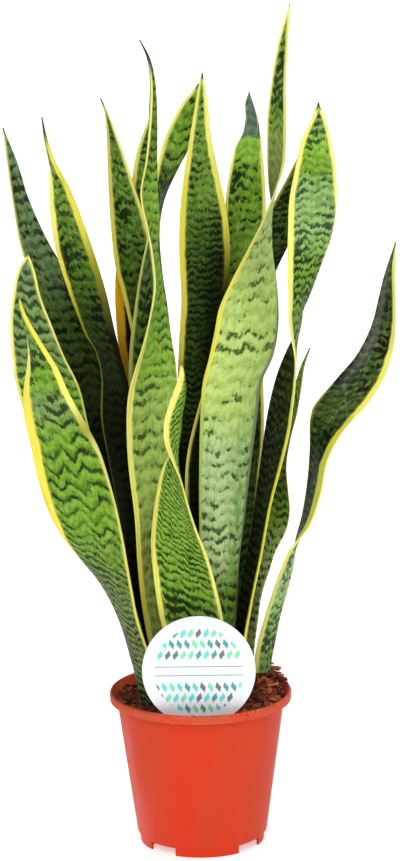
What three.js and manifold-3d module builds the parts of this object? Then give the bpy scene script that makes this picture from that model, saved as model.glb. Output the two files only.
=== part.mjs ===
// A potted snake plant with yellow leaf margins, in a thin round nursery pot with a round
// plastic label. Millimetres, +Z up. The origin is on the ground under the pot's middle,
// the front is towards -Y and +X is to the right.
import * as THREE from 'three';
import { mergeVertices } from 'three/addons/utils/BufferGeometryUtils.js';
import Module from 'manifold-3d';

const wasm = await Module();
wasm.setup();

// Pot
const POT_HEIGHT = 120;
const RIM_RADIUS = 70;
const WALL = 1.2;
const WALL_RADIUS_AT_GROUND = 49.1;
const WALL_TAPER = 0.1362;
const LIP_HEIGHT = 7;
const LIP_WALL = 1.4;
const LIP_DRAFT = 0.2;
const LIP_THICKNESS = 3;
const LIP_FILLET = { reach: 1.2, drop: 0.4 };
const LIP_NECK = { reach: 1, rise: 1.4, drop: 1 };
const FOOT_HEIGHT = 7;
const FOOT_RADIUS = 47.9;
const FOOT_WALL = 1.6;
const FOOT_DRAFT = 0.4;
const WALL_STEP = { reach: 0.8, rise: 1.5 };
const FLOOR_CORNER_HEIGHT = 4;
const FLOOR_UNDERSIDE = 4;
const FLOOR_TOP = 5.6;
const POT_SIDES = 48;
const DRAIN_COUNT = 4;
const DRAIN_FIRST_ANGLE = -40;
const DRAIN_ARC = 29;
const DRAIN_INNER_RADIUS = 38;
const DRAIN_TOP = 6.4;
const DRAIN_REACH = 3;
const DRAIN_SIDES = 8;
const CUT_CLEARANCE = 1;

// The lip's rounded crest, as [inwards, downwards] steps from its outer radius and its top.
const LIP_CREST = [[0, 1.8], [0.6, 0.3], [1.3, 0], [2, 0.3]];

// The floor's rounded corner, as [inwards, upwards] steps from the foot's radius and the floor.
const FLOOR_CORNER = [[0.9, 2.2], [1.5, 0]];

// Soil
const SOIL_LEVEL = 114;
const SOIL_GAP = 0.5;
const SOIL_RINGS = 8;
const MOUND = { x: 50, y: 20, rise: 14.5, spread: 17 };
const HOLLOW = { x: -42, y: -22, drop: 2.5, spread: 22 };
const CRUMBS = { coarse: 0.9, fine: 0.6 };
const SOIL_SHOULDER = 4;
const SOIL_CORNER = { floor: 3, wall: 1.2, rise: 1.4 };
const CHIP_COUNT = 40;
const CHIP_REACH = 58;
const CHIP_SEED = 41;
const CHIP_SIZES = { length: [5, 12], breadth: [3, 6], thickness: [2, 3.2] };
const CHIP_TILT = 0.6;
const CHIP_LIFT = 0.4;

// Label
const LABEL_RADIUS = 42.7;
const LABEL_CENTRE_HEIGHT = 150;
const LABEL_X = -1.1;
const LABEL_Y = -52;
const LABEL_THICKNESS = 1;
const STAKE_WIDTH = 13;
const STAKE_SHOULDER = 74;
const STAKE_TIP = 58;
const LABEL_SIDES = 40;

// Leaves
const LEAF_FOOT = 92;
const SOCKET_TOP = 150;
const LEAF_ROWS = 23;
const LEAF_COLUMNS = [-1, -0.55, 0, 0.55, 1];
const WIDTH_AT_FOOT = 0.52;
const FULL_WIDTH_AT = 0.55;
const TIP_WIDTH = 1.8;
const MIDRIB_THICKNESS = { foot: 4.4, tip: 1.5 };
const MARGIN_THICKNESS = { foot: 1.4, tip: 0.9 };
const USUAL_LEAN = 1.3;
const SLENDER_BELOW = 14;
const CUP_SETTLES_AT = 0.4;

// Each leaf, from the left of the plant to the right. width is the blade at its widest.
// depth is its middle line's Y at the foot and at the tip, and how late it leans.
// turned is +1 where the right margin lies behind the left one, and -1 where it lies in front.
// cup is how far the middle stands towards the front of the chord, at the foot and higher up.
// margins are the left and the right margin's X at each height, from the foot to the tip.
const LEAVES = [
  {
    name: 'leaf_01', width: 37, depth: [39, 90], turned: 1, cup: [-4, -2],
    margins: [
      [92, -39, -22], [160, -53, -33], [210, -68.5, -43], [260, -83, -52], [310, -99, -61],
      [360, -112, -72], [400, -121.5, -85], [430, -128, -98.5], [460, -135.5, -115.5],
      [490, -140, -128.5], [518, -144, -136.5], [545, -147, -147],
    ],
  },
  {
    name: 'leaf_02', width: 32, depth: [17, 15], turned: -1, cup: [4, 2],
    margins: [
      [92, -36, -16], [160, -47, -29], [210, -56.5, -37], [260, -62.5, -41], [300, -69, -43],
      [330, -73.5, -46], [360, -72.5, -52], [380, -76.5, -57], [390, -82, -59], [400, -86.5, -61.5],
      [430, -96.5, -68], [460, -105, -76.5], [490, -108.5, -86.5], [510, -108.5, -94.5],
      [520, -108, -99.5], [530, -109, -104.5], [545, -111.5, -109.5], [561, -113, -113],
    ],
  },
  {
    name: 'leaf_03', width: 48, depth: [18, -20], turned: -1, cup: [4, 2],
    margins: [
      [92, -45, -33], [130, -48, -37], [150, -51, -41], [170, -57, -45], [190, -65, -50],
      [230, -84, -59], [270, -103, -67.5], [300, -116, -74], [330, -127.5, -82], [360, -136, -88],
      [385, -138.5, -99], [410, -139, -108], [430, -136.5, -115], [450, -132, -119],
      [464, -123.5, -123.5],
    ],
  },
  {
    name: 'leaf_04', width: 54, depth: [-8, -90], turned: -1, cup: [5, 3],
    margins: [
      [92, -45, -26], [130, -49.5, -32], [150, -54, -36], [170, -59, -42], [190, -66.5, -47],
      [210, -77, -50], [230, -91, -53], [250, -103.5, -56], [275, -113.5, -60.5],
      [300, -119.5, -66], [325, -123.5, -73], [350, -127.5, -84.5], [370, -127, -93.5],
      [390, -123.5, -101], [410, -122.5, -112], [430, -125, -122.5], [443, -127, -127],
    ],
  },
  {
    name: 'leaf_05', width: 34, depth: [41, 78], turned: 1, cup: [-3, -2],
    margins: [
      [92, -18, 0], [160, -23, -4.5], [210, -28, -10], [260, -33, -14.5], [310, -38, -18],
      [350, -43.5, -21], [380, -48, -23.5], [410, -54, -26], [440, -61.5, -30], [470, -64.5, -36.5],
      [500, -66, -46], [530, -66.5, -55.5], [555, -67.5, -65], [568, -71, -71],
    ],
  },
  {
    name: 'leaf_06', width: 32, depth: [53, 90], turned: 1, cup: [-3, -2],
    margins: [
      [92, -15, 3], [160, -21, -1], [210, -29, -9], [260, -35.5, -15], [310, -43.5, -21.5],
      [340, -51, -28], [370, -59, -34], [400, -62, -35.5], [430, -62, -34.5], [460, -57, -31.5],
      [490, -50.5, -30], [520, -45.5, -31], [540, -39, -32], [551, -34, -34],
    ],
  },
  {
    name: 'leaf_07', width: 40, depth: [2, -45], turned: 1, cup: [-3, -3],
    margins: [
      [92, -31, -8], [140, -36.5, -12], [180, -43, -19], [220, -46.5, -23], [260, -48, -22.5],
      [300, -52, -19.5], [330, -53, -16.5], [355, -51.5, -15], [375, -46.5, -15.5],
      [395, -40, -18.5], [415, -34.5, -21], [440, -29.5, -24.5], [465, -31, -27.5],
      [485, -34.5, -26], [510, -39, -27], [535, -34, -27], [565, -30.5, -26.5], [590, -29.5, -27.5],
      [608, -32, -31], [622, -38, -38],
    ],
  },
  {
    name: 'leaf_08', width: 34, depth: [26, 38], turned: 1, cup: [-3, -2],
    margins: [
      [92, -30, -10], [160, -33, -13.5], [210, -39.5, -19], [260, -43.5, -20], [310, -48.5, -19],
      [350, -52, -17.5], [380, -51, -18.5], [410, -47, -21.5], [440, -42, -25.5], [470, -35, -27],
      [495, -31, -22.5], [520, -28, -11], [530, -25.5, -5.5], [545, -20.5, -0.5], [565, -10, 3.5],
      [582, 4, 4],
    ],
  },
  {
    name: 'leaf_09', width: 34, depth: [22, 30], turned: 1, cup: [-3, -2],
    margins: [
      [92, -13, 11], [160, -13, 12], [210, -13, 12.5], [260, -13.5, 14], [310, -14.5, 16],
      [350, -15, 18], [390, -13, 20], [420, -11, 23], [450, -12, 26.5], [480, -11.5, 25],
      [510, -8.5, 19.5], [540, -3.5, 13.5], [565, 1, 11], [581, 4, 9], [591, 7, 7],
    ],
  },
  {
    name: 'leaf_10', width: 36, depth: [37, 64], turned: 1, cup: [-3, -2],
    margins: [
      [92, 10, 34], [160, 10, 38], [210, 11, 42], [260, 13.5, 47], [310, 17, 51.5], [350, 19, 51.5],
      [390, 20.5, 52.5], [420, 21, 53.5], [450, 22, 54], [480, 23, 54.5], [505, 25.5, 54],
      [530, 31, 52], [541, 37, 50.5], [552, 39.5, 49], [564, 39.5, 45.5], [573, 42.5, 42.5],
    ],
  },
  {
    name: 'leaf_11', width: 48, depth: [-4, -8], turned: 1, cup: [4, 2],
    margins: [
      [92, 2, 24], [140, 2, 25], [180, 1.5, 28], [220, 1, 31], [260, 0.5, 36], [300, 1, 41],
      [330, 2, 45], [360, 4, 49], [380, 9, 57.5], [400, 13.5, 61.5], [420, 17.5, 62],
      [440, 26, 60.5], [460, 36, 58], [480, 46.5, 57.5], [495, 53.5, 57.5], [510, 60, 55.5],
      [530, 66.5, 54.5], [560, 68, 55], [590, 68, 58.5], [615, 69.5, 63], [632, 71, 67.5],
      [644, 71.5, 71.5],
    ],
  },
  {
    name: 'leaf_12', width: 32, depth: [4, 45, 2.2], turned: 1, cup: [-3, -2],
    margins: [
      [92, -4, 17], [160, -5, 19], [210, -8.5, 19], [260, -10, 21], [300, -8.5, 24.5], [340, 1, 30],
      [380, 13.5, 39.5], [410, 22.5, 49.5], [440, 33.5, 61], [470, 47.5, 75.5], [500, 64.5, 84.5],
      [525, 78, 86.5], [542, 84, 84],
    ],
  },
  {
    name: 'leaf_13', width: 44, depth: [8, -60], turned: -1, cup: [-4, -2],
    margins: [
      [92, 25, 32], [150, 27, 32.5], [190, 31, 39], [230, 38.5, 47], [270, 44, 54], [300, 48, 61.5],
      [325, 51.5, 67.5], [345, 55, 70.5], [365, 60, 72.5], [385, 67.5, 73], [405, 77.5, 69.5],
      [418, 80, 68], [430, 85, 68], [455, 93.5, 67.5], [480, 101, 68], [505, 104, 69],
      [530, 102.5, 73.5], [550, 99, 78], [565, 95, 85], [577, 90, 90],
    ],
  },
  {
    name: 'leaf_14', width: 36, depth: [16, 5], turned: 1, cup: [4, 2],
    margins: [
      [92, 42, 54], [130, 41.5, 54.5], [150, 43.5, 58], [170, 48.5, 62], [190, 54.5, 67.5],
      [210, 61, 72.5], [230, 69.5, 75], [250, 84.5, 80], [275, 93, 84], [300, 98, 86],
      [320, 108.5, 86], [330, 118, 86.5], [340, 128, 89.5], [360, 141, 106], [380, 147.5, 122.5],
      [400, 150, 132.5], [420, 150, 137.5], [440, 149.5, 142], [465, 150, 150],
    ],
  },
  {
    name: 'leaf_15', width: 30, depth: [20, 40], turned: -1, cup: [-3, -2],
    margins: [
      [92, 29.5, 41], [140, 31, 41], [170, 33.5, 44.5], [190, 35.5, 47.5], [210, 38.5, 54],
      [225, 41.5, 59], [240, 44.5, 67], [255, 48.5, 70], [270, 52, 69], [290, 57, 67.5],
      [310, 63, 70.5], [330, 69, 76], [350, 75.5, 79.5], [365, 80.5, 82], [379, 87, 87],
    ],
  },
  {
    name: 'leaf_16', width: 50, depth: [-24, -62], turned: -1, cup: [-5, -4],
    margins: [
      [92, -16, 14], [130, -21, 16], [150, -24, 18], [170, -27, 19], [190, -31, 17], [215, -34, 12],
      [240, -36, 6], [260, -34.5, -1], [280, -31.5, -7], [300, -27, -12.5], [315, -20, -18.5],
      [330, -13.5, -24], [345, -11.5, -24], [360, -9, -19.5], [375, -9, -14], [388, -11, -11],
    ],
  },
];

const COLOURS = {
  pot: { color: 0xd9512c, roughness: 0.45 },
  soil: { color: 0x3f2318, roughness: 1 },
  label: { color: 0xf2f6f8, roughness: 0.35 },
  leaf: { color: 0x5d8c35, roughness: 0.45 },
};

const mix = (a, b, k) => a + (b - a) * k;
const radians = THREE.MathUtils.degToRad;
const smooth = THREE.MathUtils.smoothstep;

// Draws from a fixed seed, so that the bark chips lie the same way each time.
function seededRandom(seed) {
  let state = seed;
  return () => {
    state = (state * 1664525 + 1013904223) % 4294967296;
    return state / 4294967296;
  };
}

function welded(geometry) {
  geometry.deleteAttribute('normal');
  geometry.deleteAttribute('uv');
  return mergeVertices(geometry, 1e-4);
}

function toSolid(geometry) {
  const shape = welded(geometry);
  const vertProperties = Float32Array.from(shape.attributes.position.array);
  const triVerts = Uint32Array.from(shape.index.array);
  return new wasm.Manifold(new wasm.Mesh({ numProp: 3, vertProperties, triVerts }));
}

function toGeometry(solid) {
  const mesh = solid.getMesh();
  const geometry = new THREE.BufferGeometry();
  geometry.setAttribute('position', new THREE.BufferAttribute(mesh.vertProperties, 3));
  geometry.setIndex(new THREE.BufferAttribute(mesh.triVerts, 1));
  return geometry;
}

function namedMesh(name, geometry, finish) {
  const material = new THREE.MeshStandardMaterial({ metalness: 0, ...finish });
  const mesh = new THREE.Mesh(geometry, material);
  mesh.name = name;
  return mesh;
}

// Turns a profile of [radius, height] corners round the Z axis.
function turned(profile, sides) {
  const corners = profile.map(([radius, height]) => new THREE.Vector2(radius, height));
  return new THREE.LatheGeometry(corners, sides).rotateX(Math.PI / 2);
}

const wallRadius = (height) => WALL_RADIUS_AT_GROUND + WALL_TAPER * height;
const innerRadius = (height) => wallRadius(height) - WALL;

// Pot: a tapered wall on a stepped foot ring, under a lip that turns out and down.
function drainSector(startDegrees) {
  const start = radians(startDegrees);
  const end = start + radians(DRAIN_ARC);
  const outer = wallRadius(0) + DRAIN_REACH;
  const sector = new THREE.Shape();
  sector.absarc(0, 0, outer, start, end, false);
  sector.absarc(0, 0, DRAIN_INNER_RADIUS, end, start, true);
  const cutter = new THREE.ExtrudeGeometry(sector, {
    depth: DRAIN_TOP + CUT_CLEARANCE,
    bevelEnabled: false,
    curveSegments: DRAIN_SIDES,
  });
  return cutter.translate(0, 0, -CUT_CLEARANCE);
}

function buildPot() {
  const lipFoot = POT_HEIGHT - LIP_HEIGHT;
  const lipUnderside = POT_HEIGHT - LIP_THICKNESS;
  const skirtInside = RIM_RADIUS - LIP_WALL;
  const stepTop = FOOT_HEIGHT + WALL_STEP.rise;
  const cornerTop = FLOOR_TOP + FLOOR_CORNER_HEIGHT;
  const profile = [
    [0, FLOOR_UNDERSIDE],
    [FOOT_RADIUS - FOOT_WALL, FLOOR_UNDERSIDE],
    [FOOT_RADIUS - FOOT_WALL, 0],
    [FOOT_RADIUS, 0],
    [FOOT_RADIUS + FOOT_DRAFT, FOOT_HEIGHT],
    [wallRadius(FOOT_HEIGHT) - WALL_STEP.reach, FOOT_HEIGHT],
    [wallRadius(stepTop), stepTop],
    [wallRadius(lipFoot), lipFoot],
    [skirtInside - LIP_FILLET.reach, lipUnderside],
    [skirtInside, lipUnderside - LIP_FILLET.drop],
    [skirtInside, lipFoot],
    [RIM_RADIUS - LIP_DRAFT, lipFoot],
    ...LIP_CREST.map(([inwards, downwards]) => [RIM_RADIUS - inwards, POT_HEIGHT - downwards]),
    [innerRadius(lipFoot) + LIP_NECK.reach, lipFoot + LIP_NECK.rise],
    [innerRadius(lipFoot), lipFoot - LIP_NECK.drop],
    [innerRadius(cornerTop), cornerTop],
    ...FLOOR_CORNER.map(([inwards, upwards]) => [FOOT_RADIUS - inwards, FLOOR_TOP + upwards]),
    [0, FLOOR_TOP],
  ];
  let pot = toSolid(turned(profile, POT_SIDES));
  for (let i = 0; i < DRAIN_COUNT; i += 1) {
    const middle = DRAIN_FIRST_ANGLE + (360 / DRAIN_COUNT) * i;
    pot = pot.subtract(toSolid(drainSector(middle - DRAIN_ARC / 2)));
  }
  return toGeometry(pot);
}

// Leaves: a blade whose chord turns with height, thick along its middle and thin at its margins.
function bladeWidth(leaf, along) {
  const swell = mix(WIDTH_AT_FOOT, 1, smooth(along, 0, FULL_WIDTH_AT));
  const past = Math.max(0, along - FULL_WIDTH_AT) / (1 - FULL_WIDTH_AT);
  return Math.max(TIP_WIDTH, leaf.width * swell * (1 - past ** 1.9));
}

// The section of a leaf, u of the way along its margins' points, as a ring of corners.
function bladeSection(leaf, line, u, grow) {
  const { x: left, y: right, z: height } = line.getPoint(u);
  const top = leaf.margins.at(-1)[0];
  const along = THREE.MathUtils.clamp((height - LEAF_FOOT) / (top - LEAF_FOOT), 0, 1);
  const [footDepth, tipDepth, lean = USUAL_LEAN] = leaf.depth;
  const depth = mix(footDepth, tipDepth, along ** lean);
  const seen = right - left;
  const width = Math.max(bladeWidth(leaf, along), 1.02 * Math.abs(seen));
  const turn = Math.acos(seen / width);
  const across = new THREE.Vector3(Math.cos(turn), leaf.turned * Math.sin(turn), 0);
  const facing = new THREE.Vector3(leaf.turned * Math.sin(turn), -Math.cos(turn), 0);
  const middle = new THREE.Vector3((left + right) / 2, depth, height);
  const [footCup, topCup] = leaf.cup;
  const slender = Math.min(1, width / SLENDER_BELOW);
  const cup = mix(footCup, topCup, smooth(along, 0, CUP_SETTLES_AT)) * slender;
  const half = width / 2 + grow;
  const midrib = mix(MIDRIB_THICKNESS.foot, MIDRIB_THICKNESS.tip, along ** 0.7);
  const margin = mix(MARGIN_THICKNESS.foot, MARGIN_THICKNESS.tip, along);
  const corner = (v, side) => {
    const bulge = 1 - v * v;
    const thickness = mix(margin, midrib, bulge * slender) / 2 + grow;
    return middle.clone()
      .addScaledVector(across, v * half)
      .addScaledVector(facing, cup * bulge + side * thickness);
  };
  const front = LEAF_COLUMNS.map((v) => corner(v, 1));
  const back = LEAF_COLUMNS.map((v) => corner(v, -1));
  return { front, back };
}

// Joins the sections into one closed skin, split alike on both faces.
function skinOf(sections) {
  const columns = LEAF_COLUMNS.length;
  const ringSize = 2 * columns;
  const positions = sections.flatMap(({ front, back }) => (
    [...front, ...back].flatMap((point) => point.toArray())
  ));
  const index = [];
  const quad = (a, b, c, d) => index.push(a, b, c, a, c, d);
  for (let row = 0; row < sections.length - 1; row += 1) {
    const low = row * ringSize;
    const high = low + ringSize;
    for (let i = 0; i < columns - 1; i += 1) {
      quad(low + i, low + i + 1, high + i + 1, high + i);
      const j = columns + i;
      index.push(low + j, high + j + 1, low + j + 1, low + j, high + j, high + j + 1);
    }
    const last = columns - 1;
    quad(low + last, low + columns + last, high + columns + last, high + last);
    quad(low + columns, low, high, high + columns);
  }
  const end = (sections.length - 1) * ringSize;
  for (let i = 0; i < columns - 1; i += 1) {
    const j = columns + i;
    quad(i, j, j + 1, i + 1);
    quad(end + i, end + i + 1, end + j + 1, end + j);
  }
  const geometry = new THREE.BufferGeometry();
  geometry.setAttribute('position', new THREE.Float32BufferAttribute(positions, 3));
  geometry.setIndex(index);
  return geometry;
}

function marginLine(leaf) {
  const points = leaf.margins.map(([height, left, right]) => (
    new THREE.Vector3(left, right, height)
  ));
  return new THREE.CatmullRomCurve3(points, false, 'catmullrom', 0.5);
}

function buildLeaf(leaf) {
  const line = marginLine(leaf);
  const sections = [];
  for (let row = 0; row < LEAF_ROWS; row += 1) {
    sections.push(bladeSection(leaf, line, row / (LEAF_ROWS - 1), 0));
  }
  return skinOf(sections);
}

// The space that a leaf's foot needs in the soil: its own shape, a little larger all round.
function leafSocket(leaf) {
  const line = marginLine(leaf);
  const sections = [];
  for (let row = 0; row < LEAF_ROWS; row += 1) {
    const section = bladeSection(leaf, line, row / (LEAF_ROWS - 1), SOIL_GAP);
    sections.push(section);
    if (section.front[0].z > SOCKET_TOP) {
      break;
    }
  }
  const { front, back } = sections[0];
  [...front, ...back].forEach((point) => point.setZ(point.z - SOIL_GAP));
  return skinOf(sections);
}

// Label: a round plate with a pointed stake, standing just inside the front of the rim.
function labelOutline(grow) {
  const radius = LABEL_RADIUS + grow;
  const half = STAKE_WIDTH / 2 + grow;
  const join = Math.asin(half / radius);
  const outline = new THREE.Shape();
  outline.absarc(0, 0, radius, -Math.PI / 2 + join, 1.5 * Math.PI - join, false);
  outline.lineTo(-half, STAKE_SHOULDER - LABEL_CENTRE_HEIGHT);
  outline.lineTo(0, STAKE_TIP - grow - LABEL_CENTRE_HEIGHT);
  outline.lineTo(half, STAKE_SHOULDER - LABEL_CENTRE_HEIGHT);
  return outline;
}

function labelPlate(grow) {
  const depth = LABEL_THICKNESS + 2 * grow;
  const plate = new THREE.ExtrudeGeometry(labelOutline(grow), {
    depth,
    bevelEnabled: false,
    curveSegments: LABEL_SIDES,
  });
  plate.rotateX(Math.PI / 2);
  return plate.translate(LABEL_X, LABEL_Y + depth / 2, LABEL_CENTRE_HEIGHT);
}

// Soil: a bark mix that fills the pot, heaped at the back right, with chips lying in it.
function heap(x, y, { x: middleX, y: middleY, spread }) {
  return Math.exp(-((x - middleX) ** 2 + (y - middleY) ** 2) / (2 * spread ** 2));
}

function soilTop(x, y) {
  const coarse = CRUMBS.coarse * Math.sin(0.42 * x + 1.1) * Math.sin(0.39 * y);
  const fine = CRUMBS.fine * Math.sin(0.83 * x - 0.71 * y);
  const mound = MOUND.rise * heap(x, y, MOUND);
  const hollow = HOLLOW.drop * heap(x, y, HOLLOW);
  return SOIL_LEVEL + mound - hollow + coarse + fine;
}

// What the soil may fill: the inside of the pot less the gap, and the space over it.
function soilOutline(top) {
  const floor = FLOOR_TOP + SOIL_GAP;
  const corner = FLOOR_TOP + FLOOR_CORNER_HEIGHT;
  const lipFoot = POT_HEIGHT - LIP_HEIGHT;
  return [
    [0, floor],
    [FOOT_RADIUS - SOIL_CORNER.floor, floor],
    [innerRadius(corner) - SOIL_CORNER.wall, corner + SOIL_CORNER.rise],
    [innerRadius(lipFoot) - SOIL_GAP - LIP_DRAFT, top],
  ];
}

function soilBody() {
  const profile = soilOutline(SOIL_LEVEL - SOIL_SHOULDER);
  const edge = profile.at(-1)[0];
  for (let ring = SOIL_RINGS; ring >= 0; ring -= 1) {
    profile.push([(edge * ring) / SOIL_RINGS, SOIL_LEVEL]);
  }
  const body = turned(profile, POT_SIDES);
  const place = body.attributes.position;
  for (let i = 0; i < place.count; i += 1) {
    if (place.getZ(i) > SOIL_LEVEL - 1) {
      place.setZ(i, soilTop(place.getX(i), place.getY(i)));
    }
  }
  return toSolid(body);
}

function barkChips() {
  const random = seededRandom(CHIP_SEED);
  const between = ([least, most]) => mix(least, most, random());
  const tilt = () => mix(-CHIP_TILT, CHIP_TILT, random());
  const chips = [];
  for (let i = 0; i < CHIP_COUNT; i += 1) {
    const radius = CHIP_REACH * Math.sqrt(random());
    const bearing = random() * 2 * Math.PI;
    const x = radius * Math.cos(bearing);
    const y = radius * Math.sin(bearing);
    const length = between(CHIP_SIZES.length);
    const breadth = between(CHIP_SIZES.breadth);
    const thickness = between(CHIP_SIZES.thickness);
    const chip = new THREE.BoxGeometry(length, breadth, thickness);
    chip.rotateX(tilt());
    chip.rotateY(tilt());
    chip.rotateZ(random() * Math.PI);
    chips.push(toSolid(chip.translate(x, y, soilTop(x, y) + CHIP_LIFT)));
  }
  return chips;
}

// A cut can leave loose scraps, so only the largest body is kept.
function largestBody(solid) {
  return solid.decompose().reduce((best, piece) => (piece.volume() > best.volume() ? piece : best));
}

function buildSoil() {
  let soil = soilBody();
  barkChips().forEach((chip) => {
    soil = soil.add(chip);
  });
  const room = soilOutline(SOIL_LEVEL - SOIL_SHOULDER);
  const edge = room.at(-1)[0];
  room.push([edge, SOCKET_TOP], [0, SOCKET_TOP]);
  soil = soil.intersect(toSolid(turned(room, POT_SIDES)));
  LEAVES.forEach((leaf) => {
    soil = soil.subtract(toSolid(leafSocket(leaf)));
  });
  soil = soil.subtract(toSolid(labelPlate(SOIL_GAP)));
  return toGeometry(largestBody(soil));
}

const plant = new THREE.Group();
plant.add(namedMesh('pot', buildPot(), COLOURS.pot));
plant.add(namedMesh('soil', buildSoil(), COLOURS.soil));
plant.add(namedMesh('label_tag', welded(labelPlate(0)), COLOURS.label));
LEAVES.forEach((leaf) => {
  plant.add(namedMesh(leaf.name, buildLeaf(leaf), COLOURS.leaf));
});

export default plant;
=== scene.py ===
"""The looks of a potted snake plant: a nursery pot, bark soil, sixteen leaves and a label.

Metres, +Z up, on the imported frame. The front is towards -Y and +X is to the right.
"""
import random
from math import acos, cos, exp, hypot, pi, radians, sin, sqrt, tau

import bmesh
import bpy
from mathutils import Matrix, Vector


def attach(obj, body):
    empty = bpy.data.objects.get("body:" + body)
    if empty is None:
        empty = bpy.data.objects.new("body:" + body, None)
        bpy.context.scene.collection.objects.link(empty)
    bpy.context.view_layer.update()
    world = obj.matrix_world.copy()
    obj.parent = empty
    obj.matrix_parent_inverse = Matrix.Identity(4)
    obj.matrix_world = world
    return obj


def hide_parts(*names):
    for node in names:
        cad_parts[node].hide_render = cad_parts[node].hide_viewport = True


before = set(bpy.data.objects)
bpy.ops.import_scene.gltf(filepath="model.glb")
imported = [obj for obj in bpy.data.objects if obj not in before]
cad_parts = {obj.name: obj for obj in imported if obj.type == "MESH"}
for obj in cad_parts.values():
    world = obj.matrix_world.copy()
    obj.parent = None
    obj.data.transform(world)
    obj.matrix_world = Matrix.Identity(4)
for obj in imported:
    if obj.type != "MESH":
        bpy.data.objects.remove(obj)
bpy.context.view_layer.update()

# Studio: a plain white table under broad soft lights, seen from the front and a little above.
# A pale sky fills the shadows, and only the camera sees it as pure white. The table glows
# faintly from below, as a photographer's light table does.
MM = 0.001
CAMERA_PLACE = (1.98 * MM, -2.2, 0.797)
CAMERA_PITCH = radians(12.14)
CAMERA_ROLL = radians(-0.7)
PHOTO_HEIGHT = 861
PHOTO_FOCUS = 2973
SENSOR = 36
TABLE_SIZE = 30
TABLE_GLOW = 0.45
TABLE_ROUGHNESS = 0.9
TABLE_MOTTLE = 400
TABLE_WHITES = ((250, 250, 250), (253, 253, 253))
SKY_LIGHT = 0.3
SOFT_LIGHTS = [
    ("key_light", (-0.2, -1, 0.8), 1.5, radians(35)),
    ("fill_light", (0.8, -1, 0.3), 0.42, radians(70)),
    ("top_light", (0.1, 0.4, 1), 1.0, radians(60)),
]


def linear(red, green, blue):
    """A colour given as it looks on a screen, 0 to 255, as the linear values that shaders use."""
    parts = [channel / 255 for channel in (red, green, blue)]
    return tuple(c / 12.92 if c <= 0.04045 else ((c + 0.055) / 1.055) ** 2.4 for c in parts)


def mesh_object(name, blank):
    """Turns a finished bmesh into a smooth object at the origin."""
    mesh = bpy.data.meshes.new(name)
    blank.to_mesh(mesh)
    blank.free()
    mesh.polygons.foreach_set("use_smooth", [True] * len(mesh.polygons))
    made = bpy.data.objects.new(name, mesh)
    bpy.context.scene.collection.objects.link(made)
    return made


class Signal:
    """What comes out of one socket. Arithmetic on it adds Math nodes to its finish."""

    def __init__(self, finish, socket):
        self.finish = finish
        self.socket = socket

    def __add__(self, other):
        return self.finish.maths("ADD", self, other)

    def __radd__(self, other):
        return self.finish.maths("ADD", other, self)

    def __sub__(self, other):
        return self.finish.maths("SUBTRACT", self, other)

    def __rsub__(self, other):
        return self.finish.maths("SUBTRACT", other, self)

    def __mul__(self, other):
        return self.finish.maths("MULTIPLY", self, other)

    def __rmul__(self, other):
        return self.finish.maths("MULTIPLY", other, self)

    def __truediv__(self, other):
        return self.finish.maths("DIVIDE", self, other)

    def __abs__(self):
        return self.finish.maths("ABSOLUTE", self)


class Finish:
    """A material with one Principled shader, and short calls for the nodes that feed it."""

    def __init__(self, name, constants):
        self.material = bpy.data.materials.new(name)
        self.material.use_nodes = True
        self.tree = self.material.node_tree
        self.shader = self.tree.nodes["Principled BSDF"]
        for socket, value in constants.items():
            self.show(socket, value)

    def feed(self, socket, value):
        if isinstance(value, Signal):
            self.tree.links.new(value.socket, socket)
        elif socket.type == "RGBA":
            socket.default_value = (*value, 1)
        else:
            socket.default_value = value

    def node(self, kind, settings=None, inputs=None, output=0):
        made = self.tree.nodes.new(kind)
        for name, value in (settings or {}).items():
            setattr(made, name, value)
        for key, value in (inputs or {}).items():
            self.feed(made.inputs[key], value)
        return Signal(self, made.outputs[output])

    def maths(self, operation, *values):
        return self.node("ShaderNodeMath", {"operation": operation}, dict(enumerate(values)))

    def vector(self, x, y, z):
        return self.node("ShaderNodeCombineXYZ", None, {0: x, 1: y, 2: z})

    def split(self, vector):
        parts = self.node("ShaderNodeSeparateXYZ", None, {0: vector}).socket.node.outputs
        return [Signal(self, part) for part in parts]

    def place(self):
        """Where a point of the object is, in millimetres."""
        here = self.node("ShaderNodeTexCoord", None, None, "Object")
        scale = {"operation": "SCALE"}
        return self.node("ShaderNodeVectorMath", scale, {0: here, "Scale": 1 / MM})

    def attribute(self, name, output="Vector"):
        return self.node("ShaderNodeAttribute", {"attribute_name": name}, None, output)

    def noise(self, vector, size=1, detail=2, rough=0.5):
        """Cloudy noise from 0 to 1, with lumps about as wide as size."""
        inputs = {"Vector": vector, "Scale": 1 / size, "Detail": detail, "Roughness": rough}
        return self.node("ShaderNodeTexNoise", None, inputs)

    def step(self, value, low, high):
        """0 below low, 1 above high and a smooth rise between."""
        inputs = {"Value": value, "From Min": low, "From Max": high}
        settings = {"interpolation_type": "SMOOTHSTEP"}
        return self.node("ShaderNodeMapRange", settings, inputs)

    def mix(self, below, above, share):
        """One colour over another, as far as share says."""
        return self.node("ShaderNodeMix", {"data_type": "RGBA"}, {0: share, 6: below, 7: above}, 2)

    def show(self, socket, value):
        self.feed(self.shader.inputs[socket], value)

    def bump(self, height, depth, strength=1):
        """Relief whose height runs from 0 to 1 over the given depth in metres."""
        inputs = {"Height": height, "Distance": depth, "Strength": strength}
        self.show("Normal", self.node("ShaderNodeBump", None, inputs))


view_settings = bpy.context.scene.view_settings
view_settings.view_transform = "Standard"

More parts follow.
